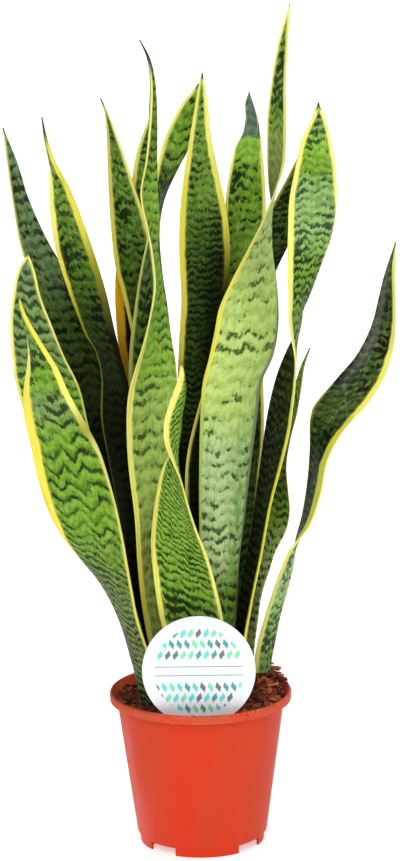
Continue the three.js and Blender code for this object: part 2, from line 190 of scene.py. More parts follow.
camera = bpy.data.objects.new("camera", bpy.data.cameras.new("camera"))
camera.data.sensor_width = SENSOR
camera.data.lens = SENSOR * PHOTO_FOCUS / PHOTO_HEIGHT
camera.matrix_world = (
    Matrix.Translation(CAMERA_PLACE)
    @ Matrix.Rotation(pi / 2 - CAMERA_PITCH, 4, "X")
    @ Matrix.Rotation(CAMERA_ROLL, 4, "Z")
)
bpy.context.scene.collection.objects.link(camera)
bpy.context.scene.camera = camera

for name, comes_from, power, spread in SOFT_LIGHTS:
    lamp = bpy.data.lights.new(name, "SUN")
    lamp.energy = power
    lamp.angle = spread
    soft_light = bpy.data.objects.new(name, lamp)
    soft_light.rotation_euler = Vector(comes_from).to_track_quat("Z", "Y").to_euler()
    bpy.context.scene.collection.objects.link(soft_light)

sky = bpy.data.worlds.new("sky")
sky.use_nodes = True
sky_glow = sky.node_tree.nodes["Background"]
sky_seen = sky.node_tree.nodes.new("ShaderNodeLightPath")
sky_strength = sky.node_tree.nodes.new("ShaderNodeMapRange")
sky_strength.inputs["To Min"].default_value = SKY_LIGHT
sky_strength.inputs["To Max"].default_value = 1
sky_glow.inputs["Color"].default_value = (1, 1, 1, 1)
sky.node_tree.links.new(sky_seen.outputs["Is Camera Ray"], sky_strength.inputs["Value"])
sky.node_tree.links.new(sky_strength.outputs["Result"], sky_glow.inputs["Strength"])
bpy.context.scene.world = sky

table_top = bmesh.new()
bmesh.ops.create_grid(table_top, x_segments=1, y_segments=1, size=TABLE_SIZE)
table = mesh_object("table", table_top)
table_paint = Finish("table_paint", {
    "Roughness": TABLE_ROUGHNESS, "Emission Color": (1, 1, 1), "Emission Strength": TABLE_GLOW,
})
mottle = table_paint.noise(table_paint.place(), size=TABLE_MOTTLE)
whites = [linear(*white) for white in TABLE_WHITES]
table_paint.show("Base Color", table_paint.mix(*whites, mottle))
table.data.materials.append(table_paint.material)

# Pot: one thin injection moulding in terracotta-coloured plastic, with a lip that turns out
# and down and a stepped foot ring. Four drain notches are cut through the ring and the corner
# of the floor. It is slightly scuffed from stacking and packing.
POT_HEIGHT = 120 * MM
RIM_RADIUS = 70 * MM
WALL = 1.2 * MM
WALL_RADIUS_AT_GROUND = 49.1 * MM
WALL_TAPER = 0.1362
LIP_FOOT = POT_HEIGHT - 7 * MM
LIP_WALL = 1.4 * MM
LIP_DRAFT = 0.2 * MM
LIP_THICKNESS = 3 * MM
LIP_FILLET = (1.2 * MM, 0.4 * MM)
LIP_FLARE = 1 * MM
LIP_FLARE_TOP = 1.4 * MM
LIP_CREST = [(0, 1.8 * MM), (0.6 * MM, 0.3 * MM), (1.3 * MM, 0), (2 * MM, 0.3 * MM)]
FOOT_HEIGHT = 7 * MM
FOOT_RADIUS = 47.9 * MM
FOOT_WALL = 1.6 * MM
FOOT_DRAFT = 0.4 * MM
STEP_DEPTH = 0.8 * MM
STEP_RISE = 1.5 * MM
FLOOR_UNDERSIDE = 4 * MM
FLOOR_TOP = 5.6 * MM
FLOOR_CORNER = 4 * MM
FLOOR_FILLET = [(0.9 * MM, 2.2 * MM), (1.5 * MM, 0)]
POT_SIDES = 144
EDGE_ROUND = 0.3 * MM
EDGE_ANGLE = radians(28)
DRAIN_COUNT = 4
DRAIN_FIRST_ANGLE = radians(-40)
DRAIN_ARC = radians(29)
DRAIN_STEPS = 10
DRAIN_INNER_RADIUS = 38 * MM
DRAIN_OUTER_RADIUS = WALL_RADIUS_AT_GROUND + 3 * MM
DRAIN_TOP = 6.4 * MM
CLAY_PLASTIC = linear(208, 52, 14)
CLAY_DUSTED = linear(196, 62, 30)
CLAY_WORN = linear(222, 122, 88)
# Darker red-brown, for real stains and for painted shade under the lip and round the wall.
CLAY_STAIN_AND_SHADE = linear(140, 44, 24)
# Where the marks lie on the pot, in the millimetres that its shader reads.
LIP_MARK = (112.6, 113.4)
CREST_MARK = (117.6, 119.6)
GROUND_MARK = (1, 12)
# Height of a faint ring of painted shade round the wall, which the bump also dents.
RING_LINE = 98.5
# Height of a thin band of painted shadow under the lip's overhang.
UNDER_LIP_SHADE = 111.8
GRIMY_SIDE = (-20, -66)


def wall_radius(height):
    return WALL_RADIUS_AT_GROUND + WALL_TAPER * height


def inner_radius(height):
    return wall_radius(height) - WALL


def turn_profile(corners, sides, arc=tau, start=0.0):
    """Turns a closed outline of (radius, height) corners round the Z axis."""
    turned = bmesh.new()
    turn = Matrix.Rotation(start, 3, "Z")
    ring = [turned.verts.new(turn @ Vector((radius, 0, height))) for radius, height in corners]
    outline = [turned.edges.new(pair) for pair in zip(ring, ring[1:])]
    whole = arc == tau
    if not whole:
        outline.append(turned.edges.new((ring[-1], ring[0])))
        outline.append(turned.faces.new(ring))
    bmesh.ops.spin(
        turned, geom=ring + outline, cent=(0, 0, 0), axis=(0, 0, 1), dvec=(0, 0, 0),
        angle=arc, steps=sides, use_merge=whole, use_duplicate=False,
    )
    bmesh.ops.remove_doubles(turned, verts=turned.verts, dist=0.001 * MM)
    bmesh.ops.recalc_face_normals(turned, faces=turned.faces)
    return turned


def round_edges(blank, sharper_than, by):
    """Rounds every edge of a bmesh that turns by more than the angle."""
    sharp = [edge for edge in blank.edges if edge.calc_face_angle(0) > sharper_than]
    bmesh.ops.bevel(
        blank, geom=sharp, offset=by, affect="EDGES", segments=2, profile=0.5,
        material=-1, clamp_overlap=True,
    )


skirt_inside = RIM_RADIUS - LIP_WALL
pot_profile = [
    (0, FLOOR_UNDERSIDE),
    (FOOT_RADIUS - FOOT_WALL, FLOOR_UNDERSIDE),
    (FOOT_RADIUS - FOOT_WALL, 0),
    (FOOT_RADIUS, 0),
    (FOOT_RADIUS + FOOT_DRAFT, FOOT_HEIGHT),
    (wall_radius(FOOT_HEIGHT) - STEP_DEPTH, FOOT_HEIGHT),
    (wall_radius(FOOT_HEIGHT + STEP_RISE), FOOT_HEIGHT + STEP_RISE),
    (wall_radius(LIP_FOOT), LIP_FOOT),
    (skirt_inside - LIP_FILLET[0], POT_HEIGHT - LIP_THICKNESS),
    (skirt_inside, POT_HEIGHT - LIP_THICKNESS - LIP_FILLET[1]),
    (skirt_inside, LIP_FOOT),
    (RIM_RADIUS - LIP_DRAFT, LIP_FOOT),
    *[(RIM_RADIUS - inward, POT_HEIGHT - down) for inward, down in LIP_CREST],
    (inner_radius(LIP_FOOT) + LIP_FLARE, LIP_FOOT + LIP_FLARE_TOP),
    (inner_radius(LIP_FOOT), LIP_FOOT - LIP_FLARE),
    (inner_radius(FLOOR_TOP + FLOOR_CORNER), FLOOR_TOP + FLOOR_CORNER),
    *[(FOOT_RADIUS - inward, FLOOR_TOP + up) for inward, up in FLOOR_FILLET],
    (0, FLOOR_TOP),
]
pot_shell = turn_profile(pot_profile, POT_SIDES)
round_edges(pot_shell, EDGE_ANGLE, EDGE_ROUND)
pot = mesh_object("nursery_pot", pot_shell)

drain_sector = [
    (DRAIN_INNER_RADIUS, -MM),
    (DRAIN_OUTER_RADIUS, -MM),
    (DRAIN_OUTER_RADIUS, DRAIN_TOP),
    (DRAIN_INNER_RADIUS, DRAIN_TOP),
]
for notch in range(DRAIN_COUNT):
    start = DRAIN_FIRST_ANGLE + tau * notch / DRAIN_COUNT - DRAIN_ARC / 2
    cutter = mesh_object("cutter", turn_profile(drain_sector, DRAIN_STEPS, DRAIN_ARC, start))
    cut = pot.modifiers.new("drain_notch", "BOOLEAN")
    cut.operation = "DIFFERENCE"
    cut.object = cutter
    bpy.context.view_layer.update()
    evaluated = pot.evaluated_get(bpy.context.evaluated_depsgraph_get())
    carved = bpy.data.meshes.new_from_object(evaluated)
    pot.modifiers.clear()
    pot.data = carved
    bpy.data.objects.remove(cutter)

plastic = Finish("clay_plastic", {"Specular IOR Level": 0.15})
here = plastic.place()
x, y, height = plastic.split(here)
blotches = plastic.noise(plastic.vector(x, y, height * 0.3), size=30, detail=3)
specks = plastic.noise(here, size=2.2, detail=3, rough=0.7)
scrapes = plastic.noise(plastic.vector(x, y, height * 7), size=9, detail=4, rough=0.65)
lip = plastic.step(height, *LIP_MARK)
crest = plastic.step(height, *CREST_MARK)
near_ground = 1 - plastic.step(height, *GROUND_MARK)
dust = plastic.step(blotches + (specks - 0.5) * 0.35, 0.34, 0.66) * 0.8 + lip * 0.2
worn = plastic.step(scrapes, 0.63, 0.73) * 0.4 + crest * plastic.step(specks, 0.42, 0.6) * 0.55
worn = worn + lip * plastic.step(blotches + (specks - 0.5) * 1.2, 0.3, 0.66) * 0.36
# A faint ring of painted shade round the wall; the bump below dents it too.
ring_line = plastic.step(abs(height - RING_LINE), 1.1, 0) * 0.35
# Painted shadow in a thin band just under the lip's overhang.
under_lip_shade = plastic.step(abs(height - UNDER_LIP_SHADE), 1.4, 0) * 0.55
grimy_side = plastic.step(x, *GRIMY_SIDE) * 0.2
soiled = plastic.step(blotches + specks + grimy_side, 1.02, 1.2) * (crest * 0.5 + lip * 0.2)
# Real specks near the ground and soil marks, with the painted shade of the ring and under the lip.
stain_and_shade = near_ground * plastic.step(specks, 0.5, 0.7) * 0.4 + ring_line * 0.5 + under_lip_shade
stain_and_shade = stain_and_shade + soiled
clay = plastic.mix(CLAY_PLASTIC, CLAY_DUSTED, dust)
clay = plastic.mix(clay, CLAY_WORN, worn)
plastic.show("Base Color", plastic.mix(clay, CLAY_STAIN_AND_SHADE, stain_and_shade))
plastic.show("Roughness", 0.36 + dust * 0.3 + worn * 0.2)
plastic.bump(specks * 0.5 + scrapes * 0.5 - ring_line * 0.6, 0.25 * MM, 0.5)
pot.data.materials.clear()
pot.data.materials.append(plastic.material)
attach(pot, "root")
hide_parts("pot")

# Soil: damp composted bark with coir, poured in and pressed round the leaves. It lies a little
# under the lip on the left and is heaped against the lip at the back right. Loose bark chips
# and short fibres lie on it.
SOIL_LEVEL = 114 * MM
SOIL_SIDES = 120
SOIL_RINGS = 34
SOIL_GAP = 0.5 * MM
SOIL_FOOT_INSET = 3 * MM
SOIL_CORNER = (1.2 * MM, 5.4 * MM)
SOIL_SHOULDER = 4 * MM
GRIT = 0.8
GRIT_SEED = 7
# Two heaps and a hollow: how high, where in x and y, and how wide, in millimetres.
HEAPS = [(14.5, 50, 20, 17), (4, 60, -8, 13), (-2.5, -42, -22, 22)]
# The chips: their sizes are in millimetres, and more of them lie loose on the first heap.
CHIP_SEED = 19
CHIP_COUNT = 1000
CHIP_REACH = 65 * MM
CHIP_SHORTEST = 2.4
CHIP_STRETCH = 8
CHIP_BREADTH = (0.3, 0.6)
CHIP_THICKNESS = (0.8, 2)
CHIP_LIFT = 1.6
LOOSE_LIFT = 3
LOOSE_HEAP = (50, 20, 20)
CHIP_PITCH = 0.7
CHIP_ROLL = 0.5
CHIP_CRUMPLE = 0.35
BESIDE_LABEL = 46 * MM
BEHIND_LABEL = -44 * MM
INSIDE_LIP = 65.2 * MM
ABOVE_LIP = 121 * MM
ON_LIP = 69 * MM
# The fibres: their radius and their steps are in millimetres, their slopes in rise per length.
FIBRE_COUNT = 90
FIBRE_REACH = 46 * MM
FIBRE_SET_BACK = 12 * MM
FIBRE_RADIUS = (0.25, 0.5)
FIBRE_STEPS = 5
FIBRE_STEP = 2.6
FIBRE_RISE = 0.7
FIBRE_DROOP = 0.3
FIBRE_BEND = 0.5
DARKER_SIDE = (8, -34)
BARK_DARK = linear(72, 30, 18)
BARK_BROWN = linear(140, 66, 40)
BARK_TAN = linear(200, 116, 70)


def heap(x, y, middle_x, middle_y, spread):
    """How much of a heap there is at a place: 1 at its middle, and falling off all round."""
    away = (x / MM - middle_x) ** 2 + (y / MM - middle_y) ** 2
    return exp(-away / (2 * spread**2))


def soil_top(x, y):
    """The height of the soil at a place: its level, its heaps and hollow, and its crumbs."""
    crumbs = 0.9 * sin(0.42 * x / MM + 1.1) * sin(0.39 * y / MM)
    crumbs += 0.6 * sin((0.83 * x - 0.71 * y) / MM)
    heaped = sum(rise * heap(x, y, *where) for rise, *where in HEAPS)
    return SOIL_LEVEL + (heaped + crumbs) * MM


soil_edge = inner_radius(LIP_FOOT) - SOIL_GAP
soil_profile = [
    (0, FLOOR_TOP + SOIL_GAP),
    (FOOT_RADIUS - SOIL_FOOT_INSET, FLOOR_TOP + SOIL_GAP),
    (inner_radius(FLOOR_TOP + FLOOR_CORNER) - SOIL_CORNER[0], FLOOR_TOP + SOIL_CORNER[1]),
    (soil_edge, SOIL_LEVEL - SOIL_SHOULDER),
    *[(soil_edge * ring / SOIL_RINGS, SOIL_LEVEL) for ring in range(SOIL_RINGS, -1, -1)],
]
soil_mass = turn_profile(soil_profile, SOIL_SIDES)
grit = random.Random(GRIT_SEED)
for vert in soil_mass.verts:
    if vert.co.z > SOIL_LEVEL - MM:
        vert.co.z = soil_top(vert.co.x, vert.co.y) + grit.uniform(-GRIT, GRIT) * MM
soil = mesh_object("bark_soil", soil_mass)


def scatter(draw, reach):
    """A random place on the soil: (x, y), even over the pot's mouth."""
    radius = reach * sqrt(draw.random())
    bearing = tau * draw.random()
    return radius * cos(bearing), radius * sin(bearing)


def add_chip(heap_mesh, draw, tone_layer):
    """One crumpled chip of bark, laid at random and kept off the label and inside the lip."""
    x, y = scatter(draw, CHIP_REACH)
    length = (CHIP_SHORTEST + CHIP_STRETCH * draw.random() ** 2) * MM
    breadth = length * draw.uniform(*CHIP_BREADTH)
    thickness = draw.uniform(*CHIP_THICKNESS) * MM
    if abs(x) < BESIDE_LABEL:
        y = max(y, BEHIND_LABEL)
    most_lift = CHIP_LIFT + LOOSE_LIFT * heap(x, y, *LOOSE_HEAP)
    lift = soil_top(x, y) + draw.uniform(0, most_lift) * MM
    lie = (
        Matrix.Translation((x, y, lift))
        @ Matrix.Rotation(tau * draw.random(), 4, "Z")
        @ Matrix.Rotation(draw.uniform(-CHIP_PITCH, CHIP_PITCH), 4, "Y")
        @ Matrix.Rotation(draw.uniform(-CHIP_ROLL, CHIP_ROLL), 4, "X")
        @ Matrix.Diagonal((length, breadth, thickness, 1))
    )
    others = len(heap_mesh.verts)
    corners = bmesh.ops.create_cube(heap_mesh, size=1, matrix=lie)["verts"]
    edges = {edge for vert in corners for edge in vert.link_edges}
    bmesh.ops.subdivide_edges(heap_mesh, edges=list(edges), cuts=1, use_grid_fill=True)
    heap_mesh.verts.ensure_lookup_table()
    tone = draw.random()
    for vert in heap_mesh.verts[others:]:
        vert[tone_layer] = tone
        vert.co += Vector(draw.uniform(-CHIP_CRUMPLE, CHIP_CRUMPLE) * thickness for _ in range(3))
        outward = hypot(vert.co.x, vert.co.y)
        limit = INSIDE_LIP if vert.co.z < ABOVE_LIP else ON_LIP
        if outward > limit:
            vert.co.x *= limit / outward
            vert.co.y *= limit / outward


chips = bmesh.new()
chip_tone = chips.verts.layers.float.new("tone")
draw = random.Random(CHIP_SEED)
for _ in range(CHIP_COUNT):
    add_chip(chips, draw, chip_tone)
bmesh.ops.recalc_face_normals(chips, faces=chips.faces)
bark_chips = mesh_object("bark_chips", chips)
bark_chips.data.polygons.foreach_set("use_smooth", [False] * len(bark_chips.data.polygons))


def pick(items, kind):
    """The items of one kind, among the mixed ones that a bmesh operator returns."""
    return [item for item in items if isinstance(item, kind)]


def add_fibre(mat, draw, tone_layer):
    """One strand of coir: a three-sided rod that is bent as it is drawn out."""
    x, y = scatter(draw, FIBRE_REACH)
    y = max(y, BEHIND_LABEL + FIBRE_SET_BACK)
    heading = tau * draw.random()
    rise = draw.uniform(0, FIBRE_RISE)
    bend = draw.uniform(-FIBRE_BEND, FIBRE_BEND)
    radius = draw.uniform(*FIBRE_RADIUS) * MM
    end = bmesh.ops.create_circle(mat, cap_ends=True, radius=radius, segments=3)["verts"]
    stand = Matrix.Translation((x, y, soil_top(x, y))) @ Matrix.Rotation(heading, 4, "Z")
    bmesh.ops.transform(mat, matrix=stand @ Matrix.Rotation(pi / 2, 4, "Y"), verts=end)
    tip = list({face for vert in end for face in vert.link_faces})
    strand = list(end)
    for _ in range(FIBRE_STEPS):
        grown = bmesh.ops.extrude_face_region(mat, geom=tip)["geom"]
        bmesh.ops.delete(mat, geom=tip, context="FACES_ONLY")
        tip = pick(grown, bmesh.types.BMFace)
        end = pick(grown, bmesh.types.BMVert)
        step = Vector((cos(heading), sin(heading), rise)) * FIBRE_STEP * MM
        bmesh.ops.translate(mat, vec=step, verts=end)
        strand += end
        heading += bend
        rise -= FIBRE_DROOP
    tone = draw.uniform(0.5, 1)
    for vert in strand:
        vert[tone_layer] = tone


coir = bmesh.new()
coir_tone = coir.verts.layers.float.new("tone")
for _ in range(FIBRE_COUNT):
    add_fibre(coir, draw, coir_tone)
bmesh.ops.recalc_face_normals(coir, faces=coir.faces)
coir_fibres = mesh_object("coir_fibres", coir)


def bark_finish(name, loose):
    """Bark: each loose piece has its own tone, and the bed under them takes it from noise.

    It is darker towards the left, where it lies low.
    """
    bark = Finish(name, {"Specular IOR Level": 0.3})
    here = bark.place()
    grain = bark.noise(here, size=1.6, detail=4, rough=0.7)
    clumps = bark.noise(here, size=9, detail=3)
    tone = bark.attribute("tone", "Fac") if loose else clumps
    # The bark is darker towards the left, where the soil lies low.
    darker_left = bark.step(bark.split(here)[0], *DARKER_SIDE)
    tone = tone + (grain - 0.5) * 0.7 + 0.1 - darker_left * 0.36
    brown = bark.mix(BARK_DARK, BARK_BROWN, bark.step(tone, 0.25, 0.7))
    bark.show("Base Color", bark.mix(brown, BARK_TAN, bark.step(tone, 0.72, 1.1)))
    bark.show("Roughness", 0.95 - grain * 0.35)
    bark.bump(grain * 0.7 + clumps * 0.3, 1.2 * MM, 0.8)
    return bark.material


loose_bark = bark_finish("loose_bark", True)
soil.data.materials.append(bark_finish("bark_bed", False))
bark_chips.data.materials.append(loose_bark)
coir_fibres.data.materials.append(loose_bark)
for piece in (soil, bark_chips, coir_fibres):
    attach(piece, "root")
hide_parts("soil")

# Leaves: stiff, fleshy sword blades that rise from under the soil, each grown as one piece.
# A blade is thick along its middle, thin at its margins and turns as it rises. Its dark bands
# run across in broken zigzags, and its margins are yellow.
LEAF_FOOT = 92
ROWS = 100
COLUMNS = 20
WIDTH_AT_FOOT = 0.52
FULL_WIDTH_AT = 0.55
TIP_WIDTH = 0.9
TIP_TAPER = 1.9
WIDER_THAN_SEEN = 1.02
SLENDER_WIDTH = 14
CUP_SETTLES = 0.4
MIDRIB_THICKNESS = (4.4, 1.5)
MIDRIB_THINNING = 0.7
MARGIN_THICKNESS = (1.4, 0.9)
MARGIN_FROM = 0.93
MARGIN_ROUNDING = 0.9
RIGHT_HALF = (-0.5, 0.6)
SHEEN_BREADTH = 0.26
DRY_THROUGH = 0.4

# The greens of a blade: its light ground, its deeper clouding and its bands.
GREENS = {
    "lime": ((146, 188, 68), (116, 158, 46), (50, 82, 26)),
    "grass": ((120, 162, 46), (88, 126, 30), (28, 48, 18)),
    "leaf": ((114, 148, 56), (82, 114, 36), (30, 50, 18)),
    "moss": ((98, 134, 44), (66, 98, 28), (26, 44, 16)),
    "fern": ((80, 108, 38), (52, 76, 24), (20, 34, 12)),
    "forest": ((118, 146, 96), (78, 106, 56), (34, 50, 28)),
    "sage": ((124, 152, 88), (96, 124, 58), (42, 64, 34)),
    "jade": ((146, 180, 106), (108, 142, 74), (46, 74, 44)),
    "frost": ((196, 219, 126), (168, 194, 98), (68, 98, 42)),
    "mint": ((188, 211, 148), (158, 184, 114), (60, 92, 50)),
    "pear": ((156, 184, 90), (128, 154, 64), (56, 82, 30)),
    "olive": ((142, 160, 74), (110, 128, 50), (62, 80, 26)),
    "drab": ((108, 128, 64), (76, 92, 44), (34, 46, 26)),
    "dusk": ((74, 94, 38), (40, 54, 26), (17, 27, 12)),
    # Painted light: these greens stand in for light on a blade that lies in shadow.
    "painted_light_chalk": ((238, 255, 168), (212, 238, 134), (56, 84, 38)),
    "shade": ((56, 68, 32), (34, 44, 20), (12, 17, 8)),
    "slate": ((98, 122, 100), (78, 100, 80), (50, 68, 54)),
}

# The tints of its margins, from the lit ones to those deep in the clump: the light
# and shade are painted in.
RIMS = {
    "lemon": (241, 236, 124),
    "gold": (233, 221, 82),
    "citron": (222, 220, 78),
    # Painted light, for a margin strip that is turned away from the light.
    "painted_light_acid": (255, 255, 92),
    "straw": (210, 206, 112),
    "pea": (178, 204, 92),
    "ash": (138, 152, 108),
    "olive": (156, 154, 40),
    "amber": (255, 190, 34),
    "rust": (190, 130, 18),
    "bronze": (92, 88, 24),
    "night": (20, 22, 9),
}

# Each leaf, from the left of the plant to the right, in millimetres. width is the blade at its
# widest. depth is its middle line's Y at the foot and at the tip, and lean how late it leans.
# turned is +1 where the right margin lies behind the left one, and -1 where it lies in front.
# cup is how far the middle stands towards the front of the chord, at the foot and higher up.
# margins are the left and the right margin's X at each height, from the foot to the tip.
# The rest is its looks, as (height, value) stops or one value all the way: the greens of its
# front and of its back, how far apart its bands lie, how much of the blade they cover, how
# broken they are, how broad its margins are, their tints, and how much painted shade darkens
# it deep in the clump. Some greens and margin tints hold painted light and shade as well.
# zigzag is how far the bands swing, sweep how broad each swing is, and slant how steeply they
# climb to the right. sheen is a painted grey sheen along the blade, for the sky's reflection
# on its curve, or a flush of fresh green where it is below 0, and sheen_at where across the
# blade it runs. dry is how much of the tip is dead. A name that ends in _behind is for the back
# of the blade alone, and one that ends in _right for the right half. What a leaf leaves out is
# as usual.
USUAL = dict(
    lean=1.3, turned=1, cup=(-3, -2), back="fern", zigzag=3, sweep=6.5, slant=0,
    right_rim="bronze", painted_shade=0, painted_shade_behind=0.35, sheen=0, sheen_at=0,
)
